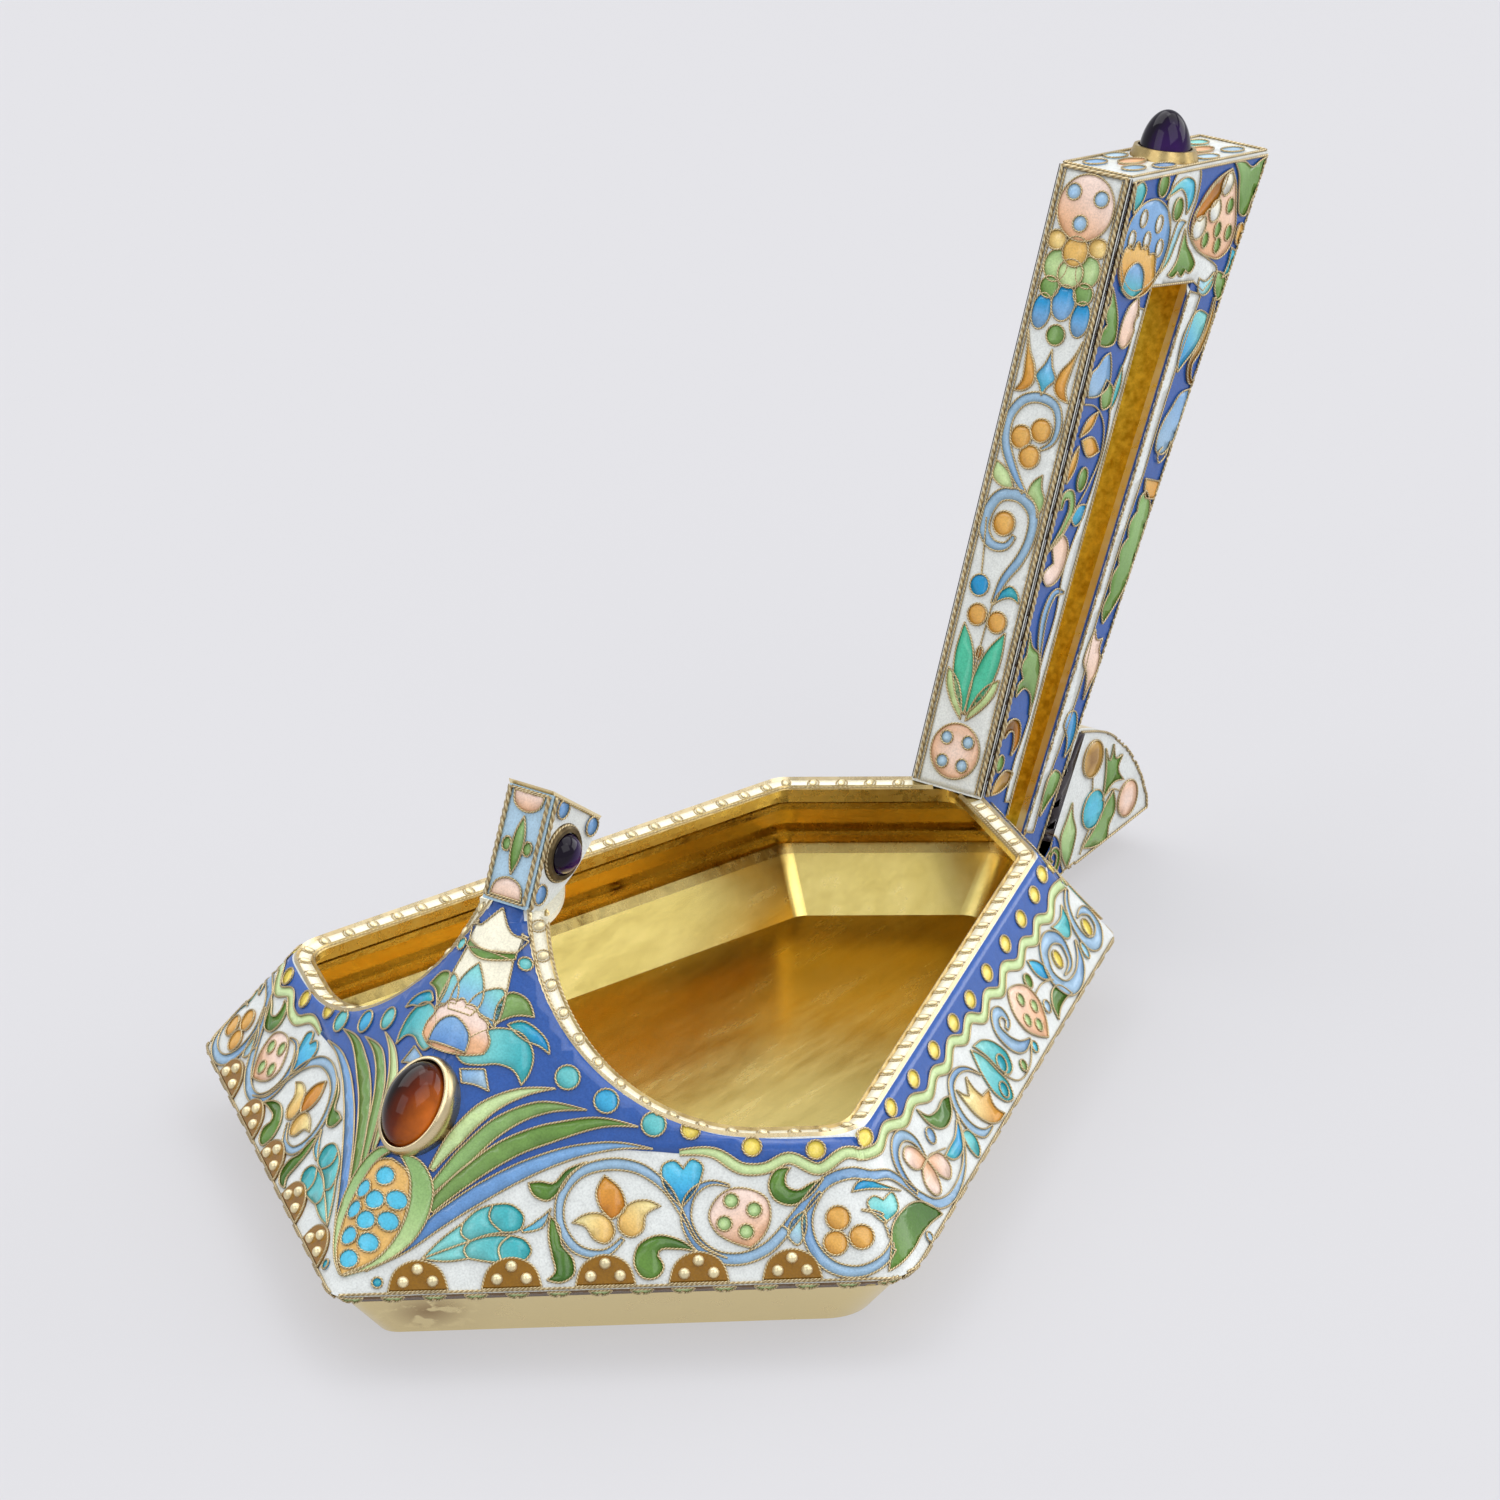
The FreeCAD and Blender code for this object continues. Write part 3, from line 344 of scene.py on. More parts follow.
def ball(centre, normal, radius, squash=1.0, sides=10, rings=5, stretch=1.0, heading=None):
    """A granule: a little more than half a ball, standing on a surface."""
    normal = normal / np.linalg.norm(normal)
    seed = heading if heading is not None else np.array([0.31, 0.2, 0.93])
    side = np.cross(normal, seed)
    side /= np.linalg.norm(side)
    other = np.cross(normal, side)
    points = [centre + normal * radius * squash]
    for r in range(1, rings + 1):
        tilt = r / rings * math.pi * BALL_ARC
        for k in range(sides):
            turn = k * TAU / sides
            flat = math.sin(tilt) * radius
            points.append(
                centre
                + side * math.cos(turn) * flat
                + other * math.sin(turn) * flat * stretch
                + normal * math.cos(tilt) * radius * squash
            )
    faces = [(0, 1 + k, 1 + (k + 1) % sides) for k in range(sides)]
    for r in range(rings - 1):
        a, b = 1 + r * sides, 1 + (r + 1) * sides
        faces += [(a + k, b + k, b + (k + 1) % sides, a + (k + 1) % sides) for k in range(sides)]
    faces.append(tuple(range(1 + (rings - 1) * sides, 1 + rings * sides))[::-1])
    return np.array(points), faces


def surface_of(*nodes):
    """The surfaces of some CAD nodes in millimetres, ready for rays."""
    points, faces = [], []
    for node in nodes:
        mesh = frame["nodes"][node].data
        offset = len(points)
        points += [v.co / MM for v in mesh.vertices]
        faces += [[i + offset for i in p.vertices] for p in mesh.polygons]
    return BVHTree.FromPolygons(points, faces)


class Panel:
    """A drawing sheet laid over CAD nodes. Cells and wires are drawn on it in millimetres."""

    def __init__(self, name, origin, across, up, nodes, slot, twin=None, grid=GRID):
        self.name, self.slot, self.twin, self.grid = name, slot, twin, grid
        self.origin = np.array(origin, float)
        self.across = np.array(across, float) / np.linalg.norm(across)
        self.up = np.array(up, float) / np.linalg.norm(up)
        self.normal = np.cross(self.across, self.up)
        self.tree = surface_of(*nodes)
        self.cells, self.wires, self.grains = Batch(), Batch(), Batch()

    def place(self, u, v):
        """The point of the sheet in space."""
        return self.origin + u * self.across + v * self.up

    def flatten(self, point):
        """The place on the sheet under a point in space."""
        away = point - self.origin
        return away @ self.across, away @ self.up

    def lay(self, flat):
        """Puts flat points on the surface; gives their places and the surface normals."""
        flat = np.asarray(flat, float).reshape(-1, 2)
        starts = self.origin + flat[:, :1] * self.across + flat[:, 1:] * self.up
        starts = starts + self.normal * RAY_START
        down = Vector(-self.normal)
        places, normals = [], []
        for start in starts:
            hit, facing, _, _ = self.tree.ray_cast(Vector(start), down, RAY_LENGTH)
            if hit is None:
                near, facing, _, _ = self.tree.find_nearest(Vector(start - self.normal * RAY_START))
                hit = near
            places.append(hit)
            normals.append(facing if facing.dot(down) < 0 else -facing)
        return np.array(places, float), np.array(normals, float)

    def shade(self, flat, colours, along):
        """The colour of each point: one colour, two along a line, or two from a centre out."""
        first, second = linear(colours[0]), linear(colours[-1])
        if along is None:
            share = np.zeros(len(flat))
        elif len(along) == 3:
            share = np.linalg.norm(flat - np.array(along[:2]), axis=1) / along[2]
        else:
            start, end = np.array(along[0][:2]), np.array(along[1][:2])
            share = (flat - start) @ (end - start) / ((end - start) @ (end - start))
        share = np.clip(share, 0, 1)[:, None]
        share = share * share * (3 - 2 * share)
        return first * (1 - share) + second * share

    def cell(self, outline, colours, along=None, level=1, wire=True):
        """A thin pillow of enamel inside an outline, with its wire."""
        outline, grid = np.asarray(outline, float), self.grid
        count = len(outline)
        low, high = outline.min(0), outline.max(0)
        inner = []
        nexts = np.roll(outline, -1, 0)
        for u in np.arange(low[0] + grid / 2, high[0], grid):
            for v in np.arange(low[1] + grid / 2, high[1], grid):
                crossed = (outline[:, 1] > v) != (nexts[:, 1] > v)
                with np.errstate(divide="ignore", invalid="ignore"):
                    cut = (nexts[:, 0] - outline[:, 0]) * (v - outline[:, 1])
                    cut = cut / (nexts[:, 1] - outline[:, 1]) + outline[:, 0]
                if np.count_nonzero(crossed & (u < cut)) % 2:
                    if np.min(np.linalg.norm(outline - (u, v), axis=1)) > grid / 3:
                        inner.append((u, v))
        given = [Vector(p) for p in outline.tolist() + inner]
        edges = [(i, (i + 1) % count) for i in range(count)]
        flat, _, faces, *_ = delaunay_2d_cdt(given, edges, [], 1, 1e-6)
        flat = np.array([tuple(p) for p in flat])
        if not faces:
            return
        faces = [tuple(f) for f in faces]
        used = {}
        for face in faces:
            for a, b in zip(face, face[1:] + face[:1]):
                used[(a, b)] = True
        rim = [(a, b) for a, b in used if (b, a) not in used]
        places, normals = self.lay(flat)
        top = places + normals * (CELL_LIFT + CELL_LAYER * level)
        foot = places - normals * CELL_ROOT
        size = len(flat)
        solid = faces + [tuple(i + size for i in face[::-1]) for face in faces]
        solid += [(b, a, a + size, b + size) for a, b in rim]
        tint = self.shade(flat, colours, along)
        self.cells.add(np.concatenate([top, foot]), solid, np.concatenate([tint, tint]))
        if wire:
            self.wire(outline, closed=True, level=level)

    def wire(self, line, closed=False, level=1, scale=1.0):
        """A twisted wire that lies along a line."""
        line = np.asarray(line, float)
        if closed:
            line = np.concatenate([line, line[:1]])
        along = length_along(line)
        count = max(4, round(along[-1] / (WIRE_RING * scale)))
        marks = np.linspace(0, along[-1], count + 1)
        marks = marks[:-1] if closed else marks
        flat = np.stack([np.interp(marks, along, line[:, k]) for k in range(2)], 1)
        places, normals = self.lay(flat)
        places = places + normals * (CELL_LIFT + CELL_LAYER * level + WIRE_THIN * scale / 2)
        self.wires.add(*twisted_tube(places, normals, closed, scale))

    def grain(self, u, v, radius, **form):
        """A gilt granule at a point."""
        places, normals = self.lay([(u, v)])
        spot = places[0] + normals[0] * (CELL_LIFT + radius * GRAIN_SINK)
        points, faces = ball(spot, normals[0], radius, **form)
        self.grains.add(points, faces, np.tile(linear("pale_gilt_and_crest_highlight"), (len(points), 1)))

    # Motifs

    def field(self, points, colours, along=None, level=0):
        """A cell inside a smooth outline."""
        self.cell(smooth_run(points, closed=True), colours, along, level)

    def leaf(self, points, colours, along=None, level=2):
        """A field shaded from its first point to the one opposite."""
        self.field(points, colours, along or (points[0], points[len(points) // 2]), level)

    def band(self, points, widths, colours, level=2):
        """A stroke of changing width, shaded from its start to its end."""
        outline, line = stroke(points, widths)
        self.cell(outline, colours, (line[0], line[-1]), level)

    def ribbon(self, points, widths=(1.1, 1.1)):
        """A pale green band that runs on past its ends, so only its sides carry a wire."""
        outline, line = stroke(points, widths)
        self.cell(outline, ("ribbon",), None, 1, wire=False)
        for edge in (outline[:len(line)], outline[len(line):]):
            self.wire(edge, level=1)

    def disc(self, u, v, radius, colours, up=None, level=3):
        """A round or oval cell, shaded from its middle out."""
        reach = max(radius, up or radius)
        self.cell(oval(u, v, radius, up), colours, (u, v, reach * DISC_SHADE), level)

    def stem(self, points, level=2):
        self.wire(smooth_run(points), level=level)

    def rope(self, points, closed=False, level=1):
        """A thick border wire."""
        self.wire(smooth_run(points, closed), closed, level, ROPE_SCALE)

    def twins(self, points, colours, along=None, level=2):
        """A leaf and its mirror image about the middle of the panel."""
        along = along or (points[0], points[len(points) // 2])
        self.leaf(points, colours, along, level)
        other = along if len(along) == 3 else mirror(along)
        self.leaf(mirror(points)[::-1], colours, other, level)

    def discs(self, places, radius, colours, up=None, level=3):
        for u, v in places:
            self.disc(u, v, radius, colours, up, level=level)

    def ground(self, points, colour, level=0):
        """A field of plain enamel with no wire round it."""
        self.cell(smooth_run(points, True), (colour,), None, level, wire=False)

    def finish(self):
        """Makes the objects of this panel, and their mirror images for its twin."""
        for label, flip in ((self.name, False), (self.twin, True)):
            if label is None:
                continue
            for kind, batch in (("cells", self.cells), ("wires", self.wires), ("grains", self.grains)):
                if batch.count:
                    thing = batch.make(f"{label}_{kind}", flip)
                    thing.data.materials.append(enamel if kind == "cells" else wire_gilt)
                    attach(thing, "root")


# Materials

# how a brushed surface stretches its scratches along x, y and z
EVEN = (1.0, 1.0, 1.0)


def add_node(tree, kind, **values):
    """A node with some of its settings (small letters) and inputs (capitals)."""
    node = tree.nodes.new(kind)
    for key, value in values.items():
        if key.islower():
            setattr(node, key, value)
        else:
            node.inputs[key].default_value = value
    return node


def vector_math(tree, operation, source, *given):
    """A vector sum with a linked first input and given values for the next ones."""
    made = add_node(tree, "ShaderNodeVectorMath", operation=operation)
    tree.links.new(source, made.inputs[0])
    for number, value in enumerate(given, 1):
        made.inputs[number].default_value = value
    return made


def start_material(name):
    made = bpy.data.materials.new(name)
    made.use_nodes = True
    tree = made.node_tree
    return made, tree, tree.nodes["Principled BSDF"]


def object_noise(tree, scale, detail=3.0, rough=0.55):
    """Noise in the object's own coordinates."""
    where = add_node(tree, "ShaderNodeTexCoord")
    noise = add_node(tree, "ShaderNodeTexNoise", Scale=scale, Detail=detail, Roughness=rough)
    tree.links.new(where.outputs["Object"], noise.inputs["Vector"])
    return noise


def stretched_noise(tree, stretch, scale, detail, rough):
    """Noise drawn out along some axes, for brush marks; gives its factor."""
    noise = object_noise(tree, scale, detail, rough)
    source = noise.inputs["Vector"].links[0].from_socket
    mapping = add_node(tree, "ShaderNodeMapping", Scale=stretch)
    tree.links.new(source, mapping.inputs["Vector"])
    tree.links.new(mapping.outputs["Vector"], noise.inputs["Vector"])
    return noise.outputs["Fac"]


def ramp(tree, source, stops):
    """A colour ramp over a factor; stops are (place, colour)."""
    made = add_node(tree, "ShaderNodeValToRGB")
    bar = made.color_ramp
    while len(bar.elements) < len(stops):
        bar.elements.new(0.5)
    for element, (place, colour) in zip(bar.elements, stops):
        element.position, element.color = place, colour
    tree.links.new(source, made.inputs["Fac"])
    return made.outputs["Color"]


def bump(tree, height, shader, strength, distance):
    made = add_node(tree, "ShaderNodeBump", Strength=strength, Distance=distance)
    tree.links.new(height, made.inputs["Height"])
    tree.links.new(made.outputs["Normal"], shader.inputs["Normal"])


def painted(tree):
    """The colours that were given to the points of a mesh."""
    return add_node(tree, "ShaderNodeAttribute", attribute_name="paint").outputs["Color"]


def multiply(tree, one, two):
    made = add_node(tree, "ShaderNodeMix", data_type="RGBA", blend_type="MULTIPLY", Factor=1.0)
    tree.links.new(one, made.inputs["A"])
    tree.links.new(two, made.inputs["B"])
    return made.outputs["Result"]


def grey(level):
    return (level, level, level, 1.0)


def make_enamel(name, colour=None):
    """Vitreous enamel: grainy, a little cloudy, with a glossy and slightly wavy skin."""
    made, tree, shader = start_material(name)
    grain = object_noise(tree, 5200, 2.0)
    cloud = object_noise(tree, 620, 3.0)
    speck = ramp(tree, grain.outputs["Fac"], [(0.28, grey(0.84)), (0.62, grey(1.05))])
    haze = ramp(tree, cloud.outputs["Fac"], [(0.3, grey(0.93)), (0.7, grey(1.03))])
    if colour is None:
        source = painted(tree)
    else:
        tone = object_noise(tree, 240, 2.0)
        shade = linear(colour)
        source = ramp(tree, tone.outputs["Fac"], [(0.3, tuple(shade * 0.97)), (0.7, tuple(shade))])
    tree.links.new(multiply(tree, multiply(tree, source, speck), haze), shader.inputs["Base Color"])
    shader.inputs["Roughness"].default_value = 0.2
    shader.inputs["IOR"].default_value = 1.5
    wave = object_noise(tree, 900, 2.0)
    bump(tree, wave.outputs["Fac"], shader, 0.35, 0.00012)
    return made


def make_gilt(name, pale, deep, rough, brush=EVEN, grime=None, grime_from=0.6, cloud=130):
    """Gilded silver: a warm metal with cloudy tone, fine scratches and some dark tarnish."""
    made, tree, shader = start_material(name)
    shader.inputs["Metallic"].default_value = 1.0
    tone = object_noise(tree, cloud, 4.0)
    source = ramp(tree, tone.outputs["Fac"], [(0.32, pale), (0.68, deep)])
    if grime:
        dirt = object_noise(tree, 260, 6.0, 0.7)
        veil = ramp(tree, dirt.outputs["Fac"], [(grime_from, grey(1.0)), (grime_from + 0.1, grime)])
        source = multiply(tree, source, veil)
    tree.links.new(source, shader.inputs["Base Color"])
    scratch = stretched_noise(tree, brush, 900.0, 4.0, 0.6)
    bump(tree, scratch, shader, 0.3, 0.00006)
    spread = ramp(tree, scratch, [(0.3, grey(rough - 0.08)), (0.7, grey(rough + 0.1))])
    tree.links.new(spread, shader.inputs["Roughness"])
    return made


def make_wire_gilt():
    """Twisted wire: its paint attribute holds painted shade in the valleys and a painted highlight on the
    crests.
    """
    made, tree, shader = start_material("wire_gilt")
    wear = object_noise(tree, 500, 3.0)
    veil = ramp(tree, wear.outputs["Fac"], [(0.35, grey(0.8)), (0.65, grey(1.05))])
    tree.links.new(multiply(tree, painted(tree), veil), shader.inputs["Base Color"])
    shader.inputs["Metallic"].default_value = 0.6
    shader.inputs["Roughness"].default_value = 0.32
    return made


def make_stone(name):
    """A polished cabochon; its paint attribute holds painted shade on one side and a painted glow of
    light on the other.
    """
    made, tree, shader = start_material(name)
    cloud = object_noise(tree, 420, 3.0)
    veil = ramp(tree, cloud.outputs["Fac"], [(0.35, grey(0.7)), (0.7, grey(1.1))])
    tree.links.new(multiply(tree, painted(tree), veil), shader.inputs["Base Color"])
    shader.inputs["Roughness"].default_value = 0.06
    shader.inputs["IOR"].default_value = 1.45
    shader.inputs["Specular IOR Level"].default_value = 0.28
    return made


def worn_outside(tree, where):
    """The bowl's outer gilding, rubbed through to darker metal in one patch."""
    away = vector_math(tree, "DISTANCE", where, WORN_PATCH)
    near = ramp(tree, away.outputs["Value"], [(0.0012, grey(1.0)), (0.0042, grey(0.0))])
    blot = ramp(tree, object_noise(tree, 420, 3.0).outputs["Fac"], [(0.40, grey(0.0)), (0.46, grey(1.0))])
    outer = add_node(tree, "ShaderNodeMix", data_type="RGBA")
    outer.inputs["A"].default_value = (0.88, 0.73, 0.38, 1)
    outer.inputs["B"].default_value = (0.36, 0.23, 0.09, 1)
    tree.links.new(multiply(tree, near, blot), outer.inputs["Factor"])
    return outer.outputs["Result"]


def inside_share(tree, where):
    """1 where a surface faces the middle of the bowl, or up, and 0 outside."""
    middle = vector_math(tree, "MULTIPLY_ADD", where, (-1.0, -1.0, 0.0), (0.0, 0.0, 0.02))
    facing = add_node(tree, "ShaderNodeNewGeometry")
    inward = vector_math(tree, "DOT_PRODUCT", facing.outputs["True Normal"])
    tree.links.new(middle.outputs["Vector"], inward.inputs[1])
    return ramp(tree, inward.outputs["Value"], [(0.0, grey(0.0)), (0.001, grey(1.0))])


def make_bowl_gilt():
    """Deep gold with brushed streaks inside, pale gold with a worn patch outside."""
    made, tree, shader = start_material("gilt_bowl")
    shader.inputs["Metallic"].default_value = 1.0
    where = add_node(tree, "ShaderNodeTexCoord").outputs["Object"]
    streak = stretched_noise(tree, (1.0, 0.22, 1.0), 420.0, 6.0, 0.65)
    inner = ramp(tree, streak, [(0.3, (0.78, 0.60, 0.17, 1)), (0.7, (0.86, 0.69, 0.25, 1))])
    mix = add_node(tree, "ShaderNodeMix", data_type="RGBA")
    tree.links.new(inside_share(tree, where), mix.inputs["Factor"])
    tree.links.new(worn_outside(tree, where), mix.inputs["A"])
    tree.links.new(inner, mix.inputs["B"])
    tree.links.new(mix.outputs["Result"], shader.inputs["Base Color"])
    tree.links.new(ramp(tree, streak, [(0.3, grey(0.20)), (0.7, grey(0.29))]), shader.inputs["Roughness"])
    bump(tree, streak, shader, 0.18, 0.0001)
    return made


enamel = make_enamel("enamel_painted")
wire_gilt = make_wire_gilt()

PAINTS = {
    "enamel_white": make_enamel("enamel_white_ground", "white"),
    "enamel_cream": make_enamel("enamel_cream_ground", "cream"),
    "enamel_cobalt": make_enamel("enamel_cobalt_ground", "cobalt"),
    "enamel_sky": make_enamel("enamel_sky_ground", "pale_sky"),
    "enamel_amber": make_enamel("enamel_amber_ground", "lobe"),
    "gilt_pale": make_gilt("gilt_outside", (0.93, 0.80, 0.50, 1), (0.88, 0.73, 0.42, 1), 0.32),
    "gilt_warm": make_gilt("gilt_inside", (0.84, 0.62, 0.18, 1), (0.74, 0.50, 0.10, 1), 0.16,
                           (0.6, 0.12, 2.0)),
    "gilt_deep": make_gilt("gilt_slot", (0.92, 0.62, 0.06, 1), (0.52, 0.30, 0.01, 1), 0.34,
                           (2.0, 1.0, 0.3), (0.35, 0.16, 0.03, 1), 0.66, 1300),
    "gilt_wire": make_gilt("gilt_trim", (0.78, 0.66, 0.42, 1), (0.64, 0.50, 0.28, 1), 0.28),
    "garnet_stone": make_stone("garnet_with_painted_glow"),
    "amethyst_stone": make_stone("amethyst_with_painted_glow"),
}

bezel_dark = make_gilt("gilt_dark", (0.17, 0.125, 0.06, 1), (0.06, 0.04, 0.02, 1), 0.4, cloud=900)
bead_gilt = make_gilt("gilt_bead", (0.62, 0.48, 0.18, 1), (0.44, 0.31, 0.09, 1), 0.24,
                      grime=(0.3, 0.18, 0.08, 1))
top_gilt = make_gilt("gilt_worn", (0.66, 0.50, 0.22, 1), (0.36, 0.25, 0.10, 1), 0.3, cloud=500)

# nodes that look unlike the rest of their slot
SPECIAL = {
    "inner_collar": bead_gilt,
    "inner_bead": bead_gilt,
    "girth_band": bead_gilt,
    "rim_band": make_gilt("gilt_rim", (0.70, 0.56, 0.27, 1), (0.56, 0.42, 0.17, 1), 0.28),
    "rim_inner_wire": top_gilt,
    "top_bezel": top_gilt,
    "lower_bowl": make_bowl_gilt(),
    "post_bezel_right": bezel_dark,
    "post_bezel_left": bezel_dark,
}


def dress_nodes():
    """Gives every CAD node the material of its slot."""
    for part in frame["record"]["subparts"]:
        thing = frame["nodes"][part["node"]]
        thing.data.materials.clear()
        thing.data.materials.append(SPECIAL.get(part["node"], PAINTS[part["material_slot"]]))


# Where the panels lie, read from the CAD nodes in millimetres


def box_mm(node):
    low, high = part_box(node)
    return np.array(low) / MM, np.array(high) / MM


GIRTH_Z = box_mm("girth_band")[1][2]
RIM_Z = 18.2
RIM_FALL = 0.3 / 2.1
PROW = np.array([0.0, -59.0, GIRTH_Z])
SHOULDER = np.array([42.0, -26.2, GIRTH_Z])
HIP = np.array([21.0, 44.6, GIRTH_Z])
STERN = np.array([0.0, 59.3, GIRTH_Z])
SLOPES = {"front": 53.4, "side": 57.9, "rear": 50.6}


def facet_axes(start, end, slope):
    along = (end - start) / np.linalg.norm(end - start)
    inward = np.array([-along[1], along[0], 0])
    tilt = math.radians(slope)
    return along, inward * math.cos(tilt) + np.array([0, 0, math.sin(tilt)])


def facet_panel(name, start, end):
    along, up = facet_axes(start, end, SLOPES[name])
    return Panel(f"{name}_right", start, along, up, [f"{name}_enamel_right"], "enamel_white",
                 f"{name}_left")


# The front facets


def draw_front(p):
    rim = 13.5
    # the cobalt ground above the blue stripe and the wavy ribbon
    p.ground([(3.6, 2.9, 1), (7.0, 4.4), (10.5, 7.0), (14.5, 9.4), (19.0, 11.5), (23.5, 12.8),
            (30.0, 12.6), (33.0, 12.3), (35.5, 12.3), (38.3, 10.7), (40.2, 10.7), (42.4, 11.6),
            (45.2, 10.5), (48.0, 12.1), (49.4, 11.8, 1), (48.7, rim, 1), (40.5, rim), (36.0, 14.0),
            (31.0, 15.8), (26.0, 19.2), (22.2, 23.8), (20.0, 29.0), (19.2, 34.5, 1), (16.1, 34.5, 1)],
            "cobalt")
    p.ribbon([(32.4, 12.4), (35.5, 12.3), (38.3, 10.7), (40.2, 10.7), (42.4, 11.6), (45.2, 10.5),
            (48.0, 12.0), (49.2, 11.85)], [0.5, 1.1, 1.0, 1.1, 1.1])
    # the sweeping leaves
    p.band([(3.2, 2.4), (7.0, 4.6), (10.5, 7.1), (14.5, 9.5), (19.0, 11.6), (23.5, 12.9), (27.0, 13.2),
            (30.0, 12.8)], [0.2, 1.1, 1.5, 1.7, 1.6, 1.3, 0.8, 0.0], ("blue", "sky"), 2)
    p.band([(9.2, 7.9), (13.0, 11.0), (17.0, 13.4), (21.5, 14.8), (25.5, 15.4), (28.7, 14.9)],
            [1.0, 1.6, 1.9, 1.8, 1.1, 0.0], ("moss", "green"), 2)
    p.band([(9.4, 9.6), (12.6, 12.7), (16.0, 15.5), (19.6, 16.9), (24.0, 16.6)],
            [0.8, 1.6, 1.6, 1.2, 0.0], MOSS, 2)
    p.band([(9.5, 11.5), (12.0, 14.6), (15.0, 17.2), (18.0, 18.4), (21.2, 18.7)],
            [0.5, 1.5, 1.5, 0.9, 0.0], ("pale_leaf", "ribbon"), 2)
    # turquoise and yellow dots in the blue
    for u, v, name, edge in ((22.3, 19.7, "aqua", "turquoise"), (25.8, 17.4, "berry", "azure"),
                             (30.1, 15.1, "aqua", "turquoise"), (33.5, 14.5, "yellow", "yellow"),
                             (39.1, 12.75, "yellow", "yellow"), (45.0, 12.3, "yellow", "yellow")):
        p.disc(u, v, 0.9 if name == "yellow" else 1.15, (name, edge))
    # the side leaves of the lotus
    p.leaf([(12.0, 22.3, 1), (13.8, 23.9), (16.0, 24.5), (18.3, 23.8), (19.2, 22.0), (18.8, 20.2),
            (18.0, 19.1, 1), (17.3, 20.5), (16.0, 21.1), (14.0, 21.1), (12.6, 21.4)], AQUA)
    p.leaf([(16.9, 24.8, 1), (18.2, 25.1), (19.7, 24.2), (20.6, 22.9), (20.7, 21.9, 1), (19.9, 22.6),
            (18.6, 23.2)], LAGOON)
    p.leaf([(15.6, 24.8, 1), (16.2, 26.9), (17.3, 27.8), (18.7, 27.2), (19.4, 25.4, 1), (17.9, 25.6)],
            MOSS)
    p.leaf([(12.4, 20.8, 1), (14.7, 20.7, 1), (15.0, 18.6, 1), (13.6, 19.3), (12.5, 19.5, 1)],
            ("sky", "pale_sky"))
    p.disc(4.3, 1.25, 0.5, LAGOON)
    draw_front_scroll(p)
    # the granulated lobes and the wire along the girth
    for number in range(5):
        centre = 8.0 + LOBE_GAP * number
        p.field([(centre - 2.75, 0.3, 1), (centre - 1.95, 2.35), (centre, 3.15), (centre + 1.95, 2.35),
            (centre + 2.75, 0.3, 1)], ("lobe", "brown"), ((centre, 0.4), (centre, 3.4)), 4)
        for du, dv in ((-1.35, 1.2), (0.0, 2.35), (1.35, 1.2)):
            p.grain(centre + du, dv, 0.56)
    p.wire([(0.8, 0.2), (52.4, 0.2)], level=1, scale=1.3)


